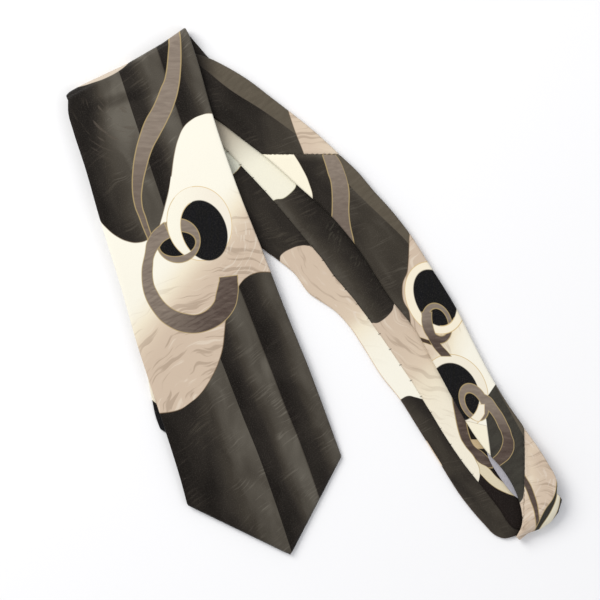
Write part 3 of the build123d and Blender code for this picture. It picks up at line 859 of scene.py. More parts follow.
def fine_arcs(g, centre, spacing):
    """Thin broken arcs round a centre, as of a dry brush."""
    radius, bearing = g.polar(centre)
    drift = g.noise(g.x / 26, g.y / 26) * 5.0
    return g.rise(g.noise((radius + drift) / spacing, bearing / 22, 1.0, 0.3), 0.12, 0.32)


def taupe(g, across=11.0):
    """Grey-brown band colour with a few darker streaks."""
    streaks = g.noise(g.x / across, g.y / 2.2, 2.0, 0.5)
    return g.ramp(streaks * 0.4 + 0.5, (0.0, "#71655b"), (0.5, "#8c7f73"), (1.0, "#a39688"))


def brown(g):
    streaks = g.noise(g.x / 9, g.y / 2.0, 2.0, 0.6)
    return g.ramp(streaks * 0.5 + 0.42, (0.0, "#463a34"), (0.5, "#5d5049"), (1.0, "#8b7d72"))


def black(g):
    streaks = g.noise(g.x / 1.6, g.y / 14, 2.0, 0.4)
    return g.ramp(streaks + 0.3, (0.0, "#0b0b0d"), (1.0, "#1b1c20"))


def sawtooth(g, value):
    """Dark to light across each band, then a sharp step back to dark."""
    share = g.math("FRACT", value)
    return g.line(share, [(0, 0.03), (0.2, 0.12), (0.5, 0.56), (0.7, 0.78), (0.955, 0.76), (1.0, 0.03)])


def strip_axes(g):
    """Distance across the neck and under leaves, and along them towards the turn."""
    return g.x * 0.77 + g.y * 0.64, g.x * 0.64 - g.y * 0.77


def front_print():
    """Print of the face of the blade as it lies on top."""
    g = Graph("silk_blade_print")
    x, y = g.x, g.y
    across = x * 0.949 + y * 0.316
    along = y * 0.949 - x * 0.316
    drift = g.line(along, [(-180, 7.0), (-120, 7.5), (-60, 5.0), (0, 2.3), (60, 0), (200, 0)])
    banded = across - drift + 75.2
    wide = g.line(banded, [(-60, 0.0), (-45, 0.05), (-34, 0.17), (-20, 0.52), (-8, 0.8), (0, 0.8), (1, 0.8)])
    teeth = sawtooth(g, (banded + BAND_STEP) / BAND_STEP)
    tone = wide * g.rise(banded, 0.2, -0.2) + teeth * g.rise(banded, -0.2, 0.2)
    light_patch = g.inside(g.oval((-122, 117), (17, 23), -25), 10.0) * 0.18
    left_shade = g.rise(x, -134.0, -148.0) * 0.22
    dark_stroke = g.oval((-127, 123.5), (15, 3.4), 16)
    art = dark_ground(g, across, along, tone + (light_patch - left_shade) - g.inside(dark_stroke, 3.0) * 0.3)
    arc_radius, arc_bearing = g.polar((-118, 133))
    arcs = g.rise(g.noise(arc_radius / 2.4, arc_bearing / 26, 1.0), 0.12, 0.3)
    arc_place = g.inside(g.oval((-134, 107), (19, 17), -35), 8.0)
    art = g.mix(arcs * arc_place * 0.6, art, colour("#5b534a"))
    fold_edge = g.line(x, [(-165, 131), (-157, 130.6), (-150.5, 131.8), (-143, 134.3), (-135.6, 137.2),
                           (-125.1, 143.0), (-119.9, 147.2), (-116, 152)])
    art = g.cover(art, g.high(fold_edge - y, x + 118.0), colour("#cdbfae"))

    # Cream and tan field between two dark lobes
    lobe_right = g.line(y, [(30, -104), (41.7, -100.5), (52.5, -97.5), (70, -93.4), (88.5, -90.8),
                            (98, -88.4), (106, -84.6), (111, -79.0), (114, -72), (120, -50)])
    cream_top = g.line(x, [(-100, 70), (-92, 88), (-88.6, 97.5), (-84.8, 105.7), (-79.6, 110.6),
                           (-73.6, 113.8), (-66, 114.6), (-50, 110)])
    lobe_bottom = g.line(x, [(-150, 58), (-140.1, 46.5), (-135.6, 41.3), (-128, 35), (-120.6, 31.7),
                             (-114.7, 31), (-108, 32.9), (-103, 37.2), (-98.5, 47), (-96, 55), (-94.4, 64),
                             (-93, 74)])
    upper = g.low(g.high(lobe_right - x, y - cream_top), y - lobe_bottom)
    low_right = g.line(y, [(-82, -96), (-77, -86.5), (-73, -80.8), (-68, -74.8), (-61, -69.6), (-53, -65.1),
                           (-46, -62.1), (-36.6, -59.5), (-26.8, -58.4), (-19.4, -57.5), (-8, -53),
                           (4, -48.4), (12, -40)])
    low_end = g.line(x, [(-115, -80.2), (-101, -79.8), (-88.3, -77.6), (-80.8, -73.1), (-74.8, -67.9),
                         (-66, -55)])
    arm_end = g.line(x, [(-56, -4), (-48.4, 4.1), (-45, 7.8), (-39.8, 10.8), (-33.8, 12), (-26, 11.4)])
    lower = g.high(g.low(x - low_right, arm_end - y), low_end - y)
    tan = (x + 90.0) * 0.021 - y * 0.0168 + 0.5
    pale = pale_ground(g, g.rise(tan, 0.0, 1.0), (-52, -94))
    arcs = fine_arcs(g, (-78, 36), 1.5) * g.rise(x, -68.0, -54.0) * g.rise(y, 75.0, 55.0) * 0.3
    pale = g.mix(arcs, pale, colour("#f6efe0"))
    art = g.cover(art, g.high(upper, lower), pale, 0.5, WOOD_OUTLINE, 0.6)

    # Ribbon that comes over the fold and runs down to the rings
    left = g.line(y, [(34, -108.2), (46.5, -113.2), (59.5, -117.3), (67.6, -118), (79, -117.5), (90, -115.8),
                      (101, -112.8), (109, -109.9), (120, -103.9), (131, -99.4), (139, -96.4), (154, -94.6),
                      (175, -93.4)])
    right = g.line(y, [(34, -104.8), (46.5, -109.1), (59.5, -112.1), (67.6, -111.5), (79, -109.1),
                       (90, -105.8), (101, -100.2), (109, -96), (120, -91.2), (131, -88.2), (139, -87.1),
                       (154, -86.5), (175, -88.0)])
    ribbon = g.high(left - x, x - right, 33.0 - y)
    ribbon_colour = g.mix(g.rise(y + x * 0.3, 70.0, 30.0) * 0.55, taupe(g), brown(g))
    art = g.cover(art, ribbon, ribbon_colour, 0.55)

    # Ring and oval, small ring and open ring, woven over and under each other
    cream_ring = g.oval((-74.6, 43.4), (20.8, 24.2), 14)
    oval = g.oval((-71.6, 38.9), (14.5, 20.0), 20)
    small_ring = g.oval((-88.4, 32.2), (14.3, 14.3))
    small_hole = g.oval((-88.8, 30.0), (12.0, 7.9), 11)
    radius, bearing = g.polar((-82, 6))
    outer = g.line(bearing, [(0, 32.2), (60, 34), (100, 41.5), (118, 40.2), (135, 37), (160, 31.3),
                             (200, 29.5), (240, 31.4), (262, 33.1), (290, 34.5), (320, 35), (345, 33.4),
                             (360, 32.2)])
    inner = g.line(bearing, [(0, 20.2), (60, 22), (110, 30.5), (130, 28.9), (145, 27), (160, 24.4),
                             (185, 22.2), (215, 20.6), (262, 21.0), (290, 22.4), (320, 21.6), (345, 19.6),
                             (360, 20.2)])
    open_ring = g.high(radius - outer, inner - radius, g.low(bearing - 7.0, 112.0 - bearing) * 0.5)
    cream_side = g.rise(x, -98.0, -60.0)
    ring_colour = g.mix(cream_side, colour("#fdf9e8"), colour("#f7efdf"))
    art = g.cover(art, cream_ring, ring_colour, 0.35, "#e2c58f")
    art = g.cover(art, oval, black(g), 0.3, OVAL_OUTLINE, 0.5)
    art = g.cover(art, small_ring, taupe(g), 0.45)
    art = g.cover(art, small_hole, black(g), 0.4)
    streaked = g.rise(g.noise((y - x * 0.5) / 1.8, (x + y) / 20, 2.0), -0.1, 0.3) * 0.3
    ring_brown = g.mix(g.rise(x - y * 0.4, -105.0, -50.0) * 0.9 + streaked, taupe(g), brown(g))
    art = g.cover(art, open_ring, ring_brown, 0.4)
    band = g.high(cream_ring, -oval, x + 79.5, 21.8 - y)
    under_ring = g.high(small_ring, -small_hole, y - 27.5)
    art = g.cover(art, g.high(band, -under_ring), ring_colour)
    ring_sides = g.low(cream_ring.size(), oval.size())
    art = g.rim(art, ring_sides, g.high(x + 80.5, 22.5 - y, y - 60.0, -under_ring), 0.35, "#d9c190")
    return g.done(art)


def turn_panel_art(g):
    """Side and print of the blade panel, where it goes round the turn."""
    x, y = g.x, g.y
    turn_base = pale_ground(g, g.rise(g.noise(x / 30, y / 30) + 0.95, 0.0, 1.0), (150, -190), 0.7)
    turn_base = g.mix(fine_arcs(g, (118, -122), 1.7) * 0.28, turn_base, colour("#f0e6da"))
    stripe_left = g.line(y, [(-172, 141.0), (-160, 143.0), (-148, 143.1), (-135.3, 139.6), (-126, 135.8),
                             (-118, 131)])
    stripe_right = g.line(y, [(-172, 143.5), (-160, 145.2), (-145.1, 145.4), (-130.6, 142), (-120.2, 136.7),
                              (-112, 132)])
    turn = g.cover(turn_base, g.high(stripe_left - x, x - stripe_right), brown(g), 0.4)
    wedge_left = g.line(y, [(-172, 131), (-160, 139.5), (-153.4, 143.3), (-142.7, 148.8), (-131.9, 155.4),
                            (-121.9, 157.2), (-112, 160)])
    wedge_right = g.line(y, [(-172, 133), (-160, 141.9), (-153.7, 145.8), (-141.9, 153.3), (-133.4, 156.6),
                             (-124.2, 158), (-112, 161)])
    stripe_end = g.line(y, [(-172, 137.6), (-160, 145.4), (-153.4, 150), (-147.3, 154.6), (-139.6, 157.8),
                            (-128.8, 159.2), (-112, 161)])
    turn = g.cover(turn, wedge_left - x, colour("#3a3833"), 0.35)
    turn = g.cover(turn, wedge_right - x, colour("#f2ead2"), 0.35)
    turn = g.cover(turn, stripe_end - x, colour("#2a2725"), 0.3)
    turn_side = g.line(y, [(-180, 124), (-160, 127), (-150, 129.5), (-141, 131.5), (-137, 134),
                           (-132, 135.7), (-80, 135.7)])
    return turn_side, turn


def neck_print():
    """Print of the face of the neck leaf and of the turn's outside."""
    g = Graph("silk_neck_print")
    x, y = g.x, g.y
    across, along = strip_axes(g)
    lit = g.rise(x, -50.0, -14.0) * 0.48 * g.rise(y, 82.0, 90.0) + g.rise(x + y * 0.3, 14.0, 50.0) * 0.42
    art = dark_ground(g, across, along, 0.14 + lit)
    pale = pale_ground(g, g.rise(g.noise(along / 60, across / 60) + 0.75, 0.0, 1.0), (40, -60))

    # Above the cross seam
    edge_one = g.line(x, [(-80, 150), (-72.5, 144.6), (-55.6, 131), (-34.1, 117.3), (-13.3, 102.4), (0, 92)])
    olive = g.ramp(g.noise(along / 2.2, across / 9) * 0.4 + 0.5, (0.0, "#50493e"), (1.0, "#6c6457"))
    above_seam = NECK_TAIL_SEAM_Y - y
    shaded = g.mix(g.rise(x, -60.0, -74.0) * 0.85, olive, colour("#2f2b27"))
    art = g.cover(art, g.high(edge_one - y, above_seam, x + 4.0), shaded)
    triangle = g.line(y, [(80, -4), (88.7, -6.8), (103, -12.4), (117, -17.2), (125, -20)])
    art = g.cover(art, g.high(triangle - x, above_seam), pale, 0.35, SEPIA_OUTLINE, 0.5)

    # Between the cross seam and the first ring
    wedge = g.line(y, [(48, -2), (59.1, -1.0), (69.9, -3.6), (79.6, -8.1), (88.5, -13.6)])
    below_seam = y - NECK_TAIL_SEAM_Y
    art = g.cover(art, g.high(x - wedge, below_seam), colour("#fdf6e0"), 0.3, SEPIA_OUTLINE, 0.5)
    left = g.line(y, [(25, 9.5), (48.4, 11.4), (64.7, 11.4), (76.4, 8.8), (88.7, 4.9)])
    right = g.line(y, [(25, 27.5), (31.5, 25.7), (49.7, 22.4), (64.7, 22.4), (78.3, 19.2), (88.7, 13.3)])
    ribbon_colour = g.mix(g.rise(y, 85.0, 45.0) * 0.5, taupe(g, 5.0), brown(g))
    art = g.cover(art, g.high(left - x, x - right, below_seam), ribbon_colour, 0.5)
    edge_two = g.line(x, [(14, 82), (21.1, 70.5), (34, 57), (47, 44.6), (60.1, 31.5), (64, 26)])
    edge_stripe = g.high(edge_two - y, below_seam, right - x)
    art = g.cover(art, edge_stripe, olive)

    # Pale field with the two rings
    cream_one, black_one = (g.oval((78.3, -4.8), size, 24.6) for size in ((18.4, 24.4), (12.6, 19.3)))
    cream_two, black_two = (g.oval((91.2, -66.0), size, 25) for size in ((20.8, 25.2), (15.0, 19.6)))
    tan = g.rise(g.noise(x / 22, y / 22) * 0.35 + (y + 60.0) * 0.008 - (x - 80.0) * 0.022 + 0.35, 0.0, 1.0)
    field = pale_ground(g, tan, (140, -10), 0.9)
    dark_side = g.line(y, [(-26, 63.6), (-23.5, 63.0), (-14, 61.5), (0, 57), (14, 60.6), (36, 61.6)])
    art = g.cover(art, g.high(dark_side - x, y - 60.0), field, 0.4, WOOD_OUTLINE, 0.6)
    art = g.cover(art, cream_one, colour("#fbf1da"), 0.35, GOLD_OUTLINE)
    art = g.cover(art, black_one, black(g), 0.3, OVAL_OUTLINE, 0.5)
    art = g.cover(art, cream_two, colour("#f7efdc"), 0.35, GOLD_OUTLINE)
    art = g.cover(art, black_two, black(g), 0.3, OVAL_OUTLINE, 0.5)
    bar = g.high((y + 32.8 + (x - 72.0) * 0.35).size() - 1.3, x - 76.0)
    art = g.cover(art, bar, colour("#4c3d34"), 0.3)

    # Small ring and tie band over the first ring
    loop_one = g.oval((79.6, -21.4), (9.6, 13.4), 16)
    loop_hole = g.oval((80.6, -20.6), (6.0, 9.3), 20)
    band_left = g.line(y, [(-45, 84.4), (-42.4, 82), (-34.5, 75.8), (-25.6, 71.9), (-15.8, 69.7), (-10, 70)])
    band_right = g.line(y, [(-45, 90.5), (-41, 87.6), (-33, 81), (-22, 76.8), (-16, 76.2), (-10, 77)])
    band = g.high(band_left - x, x - band_right, y + 14.0, -42.8 - y)
    loop = g.high(loop_one, -loop_hole, -34.6 - y)
    loop_brown = g.mix(g.rise(y, -14.0, -34.0), taupe(g, 6.0), brown(g))
    art = g.cover(art, g.low(loop, band), loop_brown, 0.35)
    ring_body = g.high(cream_one, -black_one)
    over_loop = g.high(y + 17.5, 81.5 - x)
    art = g.cover(art, g.high(ring_body, over_loop), colour("#fbf1da"))
    art = g.rim(art, ring_body, over_loop, 0.35, GOLD_OUTLINE)

    # Dark end by the turn, with its open ring, wedge and edge stripe
    radius, bearing = g.polar((103, -92))
    bearing = g.math("WRAP", bearing + 90.0, 360.0, 0.0)
    outer = g.line(bearing, [(20, 27.5), (42, 28.0), (58, 28.9), (73, 27.7), (91, 24.4), (124, 22.4),
                             (157, 25.4), (175, 26)])
    inner = g.line(bearing, [(20, 20.5), (40, 21.2), (69, 20.5), (89, 18.4), (113, 16.5), (145, 17.2),
                             (169, 22.0), (180, 22)])
    beyond = (y + 60.8) * 0.56 - (x - 117.8) * 0.83
    dark_end = g.low(g.high(beyond, outer - radius - 1.0), g.high(111.8 - x + (y + 86.0) * -0.13, y + 76.0))
    art = g.cover(art, dark_end, g.ramp(g.noise(along / 3, across / 12) * 0.5 + 0.4, (0.0, "#34312d"),
                                        (1.0, "#504e46")))
    stripe_side = g.line(y, [(-100, 138.5), (-97, 137.0), (-80, 127.8), (-61, 117.0), (-55, 114)])
    art = g.cover(art, g.high(stripe_side - x, dark_end), olive)
    loop_two = g.oval((103.6, -72.6), (8.6, 13.0), 28)
    hole_two = g.oval((103.4, -74.2), (4.6, 8.6), 30)
    loop = g.high(loop_two, -hole_two, -88.0 - y)
    open_ring = g.high(radius - outer, inner - radius, 38.0 - bearing, bearing - 168.0)
    ring_brown = g.mix(g.rise(y, -72.0, -98.0), taupe(g, 5.0), brown(g))
    art = g.cover(art, g.low(loop, open_ring), ring_brown, 0.35)
    wedge_two = g.high(x - 111.6 + (y + 86.0) * 0.13, y + 84.4 + (x - 97.0) * 0.24, -106.0 - y)
    art = g.cover(art, wedge_two, colour("#fbf3dc"), 0.3, SEPIA_OUTLINE, 0.4)
    cream_bit = g.high(cream_two, -black_two, y + 74.0, hole_two - 2.0, x - 110.5)
    art = g.cover(art, cream_bit, colour("#f7efdc"), 0.3, GOLD_OUTLINE, 0.6)

    panel_side, panel = turn_panel_art(g)
    return g.done(g.cover(art, panel_side - x, panel))


def right_flap_print():
    """Print seen on the upper back flap of the under leaf, with painted shade near the neck leaf and inside
    the turn's loop.
    """
    g = Graph("silk_right_flap_print")
    x, y = g.x, g.y
    across, along = strip_axes(g)
    tone = g.line(across, [(0, 0.85), (17, 0.7), (24, 0.5), (32, 0.25), (40, 0.1), (60, 0.1)])
    art = dark_ground(g, across, along, tone)
    strokes = g.noise((along + across * 0.4) / 1.6, across / 5, 1.0)
    ticks = g.rise(strokes, 0.1, 0.34) * g.rise(along, -50.0, -20.0)
    patches = g.rise(g.noise(along / 15, across / 12, 0.0), -0.1, 0.2)
    art = g.mix(ticks * patches * 0.3, art, colour("#5a574b"))
    start = g.line(across, [(5, -62.6), (17.4, -62.1), (24.1, -59.0), (31, -59.1), (35.3, -60.8), (45, -66)])
    # Below along -122 the cream darkens to greyish tan: painted shade near the neck leaf. Past along -132 it
    # turns near black.
    cream = g.mix(g.rise(along, -122.0, -85.0), colour("#b9af9d"), colour("#f6f2df"))
    cream = g.mix(g.rise(along, -132.0, -140.0), cream, colour("#302c28"))
    art = g.cover(art, along - start, cream, 0.35, "#c8c4a4", 0.6)
    back = g.line(across, [(5, 35), (15.3, 40.2), (19.7, 42.9), (28.5, 42.9), (33.8, 40.3), (42, 33)])
    tan = g.line(along, [(40, 1.0), (70, 0.85), (95, 0.4), (110, 0.25), (200, 0.2)])
    field = pale_ground(g, tan, (120, 60), 1.3)
    art = g.cover(art, back - along, field, 0.35, "#3b322c", 0.5)
    far_left = g.line(y, [(-125, 106.5), (-118, 107.6), (-111.2, 105.4), (-100, 97.4), (-95.3, 94.9),
                          (-77.9, 90.9), (-69.8, 89.7), (-64, 89.5)])
    crescent_in = g.line(y, [(-112, 116), (-105.2, 109.5), (-100.5, 103.6), (-94.2, 100.8), (-86.6, 99),
                             (-78, 97.5), (-66, 96)])
    # Towards the turn the flap goes near black. Between the sliver and the band this is a black patch of
    # print; below the band it is painted shade inside the loop, under the neck leaf's edge.
    beyond = g.high(far_left - x, y + 64.0)
    art = g.cover(art, beyond, colour("#241f1d"))
    art = g.cover(art, g.high(beyond, x - crescent_in, -115.5 - y), brown(g), 0.45)
    art = g.cover(art, g.high(beyond, crescent_in - x, -103.0 - y, y + 97.0), colour("#c9b28c"))
    band_top = g.line(x, [(104, -109), (108, -112.6), (112.3, -114.9), (118.7, -121.6), (125.1, -126.6),
                          (132, -131.5)])
    band_low = g.line(x, [(104, -115), (107.7, -119), (116.4, -127.3), (123.4, -131.2), (130.9, -134),
                          (134, -135)])
    art = g.cover(art, g.high(y - band_top, band_low - y, far_left - x), colour("#e3d7ba"), 0.3)
    return g.done(art)


def left_flap_print():
    """Print seen on the lower back flap of the under leaf."""
    g = Graph("silk_left_flap_print")
    across, along = strip_axes(g)
    art = dark_ground(g, across, along, 0.2 + g.rise(across, 18.0, 0.0) * 0.12)
    patch = g.line(across, [(-10, -96), (0, -94.5), (7.7, -92.2), (15.4, -93.4), (24, -97)])
    art = g.cover(art, along - patch, colour("#e3e3d2"), 0.3)
    start = g.line(across, [(-12, -27), (-5.1, -29.5), (-1.6, -31.8), (6.1, -30.7), (12.4, -27.9),
                            (16.9, -23.9), (24, -20)])
    tan = g.line(along, [(-30, 1.0), (0, 0.95), (24, 0.8), (40, 0.3), (60, 0.05), (100, 0.0)])
    field = pale_ground(g, tan, (60, 60), 1.5)
    patches = g.rise(g.noise(along / 14, across / 6, 2.0, 0.8), 0.1, 0.4) * g.rise(along, -10.0, 5.0)
    field = g.mix(patches * tan * 0.75, field, colour("#f1e8dd"))
    art = g.cover(art, start - along, field, 0.4, UMBER_OUTLINE, 0.6)
    end = g.line(across, [(-10, 89), (-2.2, 90.6), (2.6, 91.7), (6.2, 95.7), (9.3, 100), (16, 106)])
    deep = dark_ground(g, across, along, 0.12 + g.rise(across, 12.0, -4.0) * 0.35)
    art = g.cover(art, end - along, deep, 0.35, UMBER_OUTLINE, 0.5)
    return g.done(art)


def rolled_edge_print():
    """The under leaf's rolled left edge, where the face's print comes round."""
    g = Graph("silk_rolled_edge_print")
    along = strip_axes(g)[1]
    pale = g.mix(g.noise(along / 9, g.y / 9) + 0.5, colour("#f3dfc2"), colour("#d9bfa4"))
    dark = g.ramp(g.noise(along / 5, g.y / 5) + 0.5, (0.0, "#3a302a"), (1.0, "#6b5a4d"))
    inside = g.low(g.high(-29.0 - along, along - 91.0), g.high(122.0 - along, along - 141.0))
    return g.done(g.cover(dark, inside, pale))


def hidden_art(g, seed):
    """The same style of print where it lies folded away: dark bands, tan lobes and a few ovals."""
    x, y = g.x, g.y
    across = x * 0.9 + y * 0.44 + seed
    along = y * 0.9 - x * 0.44
    art = dark_ground(g, across, along, sawtooth(g, across / BAND_STEP))
    lobes = g.noise(x / 70 + seed, y / 70, 0.0, 0.6) - g.rise(y, 120.0, 140.0) * g.rise(y, 200.0, 180.0)
    pale = pale_ground(g, g.rise(g.noise(x / 50, y / 50) + 0.5, 0.0, 1.0), (300, -300))
    art = g.cover(art, (0.22 - lobes) * 30.0, pale, 0.4, WOOD_OUTLINE, 0.6)
    art = g.cover(art, ((lobes - 0.44).size() - 0.025) * 60.0, taupe(g), 0.45)
    return g.cover(art, (0.52 - lobes) * 40.0, black(g), 0.35)


def underside_print():
    g = Graph("silk_underside_print")
    return g.done(hidden_art(g, 3.0))


def tail_print():
    """Print of the tail leaf: hidden but for one shoulder, which has a cream and a black patch."""
    g = Graph("silk_tail_print")
    art = hidden_art(g, 11.0)
    middle, inward = TAIL_FOLD.middle, TAIL_FOLD.inward
    from_fold = (middle[0] - g.x) * inward[0] + (middle[1] - g.y) * inward[1]
    shoulder = g.high(SHOULDER_START - from_fold, from_fold - SHOULDER_END)
    art = g.cover(art, shoulder, colour("#f6eeda"), 0.35)
    return g.done(g.cover(art, SHOULDER_END - from_fold, black(g)))


# ---------------------------------------------------------------- other cloths
def plain_cloth(name, dark, light, roughness, weave, bump, stretch=(2.0, 2.0)):
    """A plain woven cloth with uneven threads. It reads its place on the piece itself."""
    g = Graph(name)
    spots = g.noise(g.x / stretch[0], g.y / stretch[1], 4.0)
    soft = g.noise(g.x / 19, g.y / 19, 2.0)
    return g.done(g.ramp(spots * 0.5 + soft * 0.4 + 0.5, (0.0, dark), (1.0, light)), roughness, weave, bump)


BLADE_PRINT = front_print()
NECK_PRINT = neck_print()
RIGHT_FLAP_PRINT = right_flap_print()
LEFT_FLAP_PRINT = left_flap_print()
EDGE_PRINT = rolled_edge_print()
UNDERSIDE_PRINT = underside_print()
TAIL_PRINT = tail_print()
WOOL = plain_cloth("brushed_wool", "#8e8c94", "#c4c2c8", 0.85, 1.3, 0.7, (0.7, 3.0))
LINING = plain_cloth("satin_lining", "#1d1b1c", "#2f2c2c", 0.34, 0.4, 0.25, (6.0, 0.6))
LABEL = plain_cloth("woven_label", "#15161a", "#26272c", 0.55, 0.6, 0.6)
CARE = plain_cloth("care_label_satin", "#dcd9d2", "#f2f0ea", 0.4, 0.4, 0.25)
THREAD = plain_cloth("sewing_thread", "#241f1c", "#3a322c", 0.6, 0.3, 0.5)
PIECING_THREAD = plain_cloth("piecing_thread", "#4c463f", "#857c71", 0.6, 0.3, 0.5)

# ---------------------------------------------------------------- silk pieces
ONE_PRINT = {"left_flap": 0, "left_edge": 0, "face": 0, "right_edge": 0, "right_flap": 0}
UNDER_ZONES = {"left_flap": 1, "left_edge": 3, "face": 0, "right_edge": 2, "right_flap": 2}

blade_silk = made(wrapped_cloth(front_strip, ONE_PRINT, BLADE_RIPPLE, True, FRONT_OPENING, 0), "blade_silk",
                  [BLADE_PRINT])

neck_mesh = wrapped_cloth(neck_leaf, ONE_PRINT, NECK_RIPPLE)
SEAM_AT_TURN = (BLADE_NECK_SEAM_X * MM, 0, 0)
SEAM_AT_TOP = (0, NECK_TAIL_SEAM_Y * MM, 0)
BELOW_SEAM = (0, -147.0 * MM, 0)
turn_end = kept_side(neck_mesh.copy(), SEAM_AT_TURN, (1, 0, 0))
beside_seam = kept_side(neck_mesh.copy(), SEAM_AT_TURN, (-1, 0, 0))
turn_corner = kept_side(beside_seam.copy(), BELOW_SEAM, (0, -1, 0))
neck_panel = kept_side(kept_side(beside_seam, BELOW_SEAM, (0, 1, 0)), SEAM_AT_TOP, (0, -1, 0))
tail_start = kept_side(neck_mesh.copy(), SEAM_AT_TOP, (0, 1, 0))
neck_mesh.free()


def joined(first, second, slot_shift):
    """Two meshes as one, sewn where their points meet."""
    for face in second.faces:
        face.material_index += slot_shift
    data = bpy.data.meshes.new("joining")
    second.to_mesh(data)
    first.from_mesh(data)
    second.free()
    bpy.data.meshes.remove(data)
    bmesh.ops.remove_doubles(first, verts=first.verts, dist=JOIN_GAP * MM)
    return first


under_mesh = wrapped_cloth(under_leaf, UNDER_ZONES, UNDER_RIPPLE, False)
turn_mesh = wrapped_cloth(turn_roll, {"left_flap": 1, "left_edge": 4, "face": 4, "right_edge": 4,
                                      "right_flap": 2})
turn_panel = joined(joined(turn_mesh, turn_end, 4), turn_corner, 4)
under_silk = made(joined(under_mesh, turn_panel, 0), "under_silk",
                  [UNDERSIDE_PRINT, LEFT_FLAP_PRINT, RIGHT_FLAP_PRINT, EDGE_PRINT, NECK_PRINT])
neck_silk = made(neck_panel, "neck_silk", [NECK_PRINT])
tail_start_silk = made(tail_start, "tail_start_silk", [NECK_PRINT])
tail_silk = made(wrapped_cloth(tail_strip, ONE_PRINT, TAIL_RIPPLE, True, TAIL_OPENING, -1), "tail_silk",
                 [TAIL_PRINT])

# ---------------------------------------------------------------- interlinings
WOOL_GAUGE = 0.9
WOOL_INSET = 1.6
WOOL_COLUMNS = 14


def slab(strip, first=0, last=None, gauge=WOOL_GAUGE, left_inset=WOOL_INSET, right_inset=WOOL_INSET,
         height=0.0, ripple=None, closed=(0, -1)):
    """Closed flat slab of thick cloth along part of a strip, drawn in from its edges."""
    stations = np.arange(len(strip))[first:last]
    width = strip.widths()[stations, None]
    start = np.broadcast_to(np.array(left_inset, float).reshape(-1, 1), width.shape) / width
    stop = 1 - right_inset / width
    across = np.linspace(0, 1, WOOL_COLUMNS)[None, :]
    top = start + (stop - start) * across
    shares = np.hstack((top, top[:, ::-1]))
    up = np.hstack((np.full_like(top, height + gauge / 2), np.full_like(top, height - gauge / 2)))
    points = strip.place(stations, shares, up, ripple)
    prints = strip.print_place(stations, shares)
    mesh = bmesh.new()
    around = list(range(2 * WOOL_COLUMNS)) + [0]
    verts = add_grid(mesh, points[:, around], prints[:, around], [0] * len(around))
    bmesh.ops.remove_doubles(mesh, verts=mesh.verts, dist=FINE_WELD * MM)
    for end in closed:
        mesh.faces.new([vert for vert in verts[end] if vert.is_valid])
    return mesh


def near(strip, plan):
    """Station of a strip whose middle is nearest to a plan place."""
    middle = (strip.left[:, :2] + strip.right[:, :2]) / 2
    return int(np.argmin(np.linalg.norm(middle - np.array(plan), axis=1)))


TONGUE_START = near(neck_leaf, (121.0, -88.0))
TONGUE_END = near(neck_leaf, (143.5, -124.0))
TONGUE_REACH = 5.2
TONGUE_ROOT = 3.0
TONGUE_WIDTH = 9.0
TONGUE_GAUGE = 0.6
TONGUE_DROP = 0.5

blade_wool = made(slab(front_strip, 2, ripple=BLADE_RIPPLE), "blade_wool", [WOOL], 0)
under_wool = made(slab(under_leaf, ripple=UNDER_RIPPLE), "under_wool", [WOOL], 0)
neck_core = joined(slab(turn_roll, closed=(0,)), slab(neck_leaf, ripple=NECK_RIPPLE, closed=(-1,)), 0)
tongue = slice(*sorted((TONGUE_START, TONGUE_END)))
tongue_share = np.linspace(0, math.pi, tongue.stop - tongue.start)
tongue_edge = TONGUE_ROOT - (TONGUE_REACH + TONGUE_ROOT) * np.sin(tongue_share) ** 0.5
tongue_mesh = slab(neck_leaf, tongue.start, tongue.stop, TONGUE_GAUGE, tongue_edge,
                   neck_leaf.widths()[tongue][0] - TONGUE_WIDTH, -GAUGE / 2 - TONGUE_DROP)
neck_wool = made(joined(neck_core, tongue_mesh, 0), "neck_wool", [WOOL], 0)
tail_wool = made(slab(tail_strip, 0, -2, ripple=TAIL_RIPPLE), "tail_wool", [WOOL], 0)


# ---------------------------------------------------------------- linings, labels and keeper
LINING_HEIGHT = -0.56
LINING_CLOTH = 0.08
LINING_INSET = 4.0
LABEL_COLUMNS, LABEL_ROWS = 41, 17


def tip_lining(name, strip, opening, end):
    """Thin lining inside a tip, showing through the open back between the hem and the bar tack."""
    travelled = strip.travelled()
    away = travelled if end == 0 else travelled[-1] - travelled
    stations = np.flatnonzero((away > 2.0) & (away < opening["tack"] + 4.0))
    across = np.linspace(0, 1, FLAP_COLUMNS)[None, :]
    inset = LINING_INSET / strip.widths()[stations, None]
    shares = inset + (1 - 2 * inset) * across
    points = strip.place(stations, shares, np.full_like(shares, LINING_HEIGHT))
    mesh = bmesh.new()
    add_grid(mesh, points, strip.print_place(stations, shares), [0] * FLAP_COLUMNS)
    return made(mesh, name, [LINING], LINING_CLOTH)


def flat_label(name, node, height, below, bow, material, cloth, angle):
    """A blank band on a leaf's back, at the place of its CAD node, following the leaf's height."""
    low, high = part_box(node)
    middle = np.array([(low.x + high.x) / 2, (low.y + high.y) / 2]) / MM
    c, s = math.cos(math.radians(angle)), math.sin(math.radians(angle))
    span = np.array([high.x - low.x, high.y - low.y]) / MM
    length = (span[0] * c - span[1] * s) / (c * c - s * s)
    width = (span[1] * c - span[0] * s) / (c * c - s * s)
    u, v = np.meshgrid(np.linspace(-0.5, 0.5, LABEL_COLUMNS), np.linspace(-0.5, 0.5, LABEL_ROWS))
    plan = np.stack((middle[0] + u * length * c - v * width * s,
                     middle[1] + u * length * s + v * width * c), axis=-1)
    lift = height(plan.reshape(-1, 2)).reshape(u.shape) + below + bow * np.cos(math.pi * u) ** 0.5
    points = np.dstack((plan, lift))
    mesh = bmesh.new()
    add_grid(mesh, points, plan, [0] * u.shape[1])
    return made(mesh, name, [material], cloth)


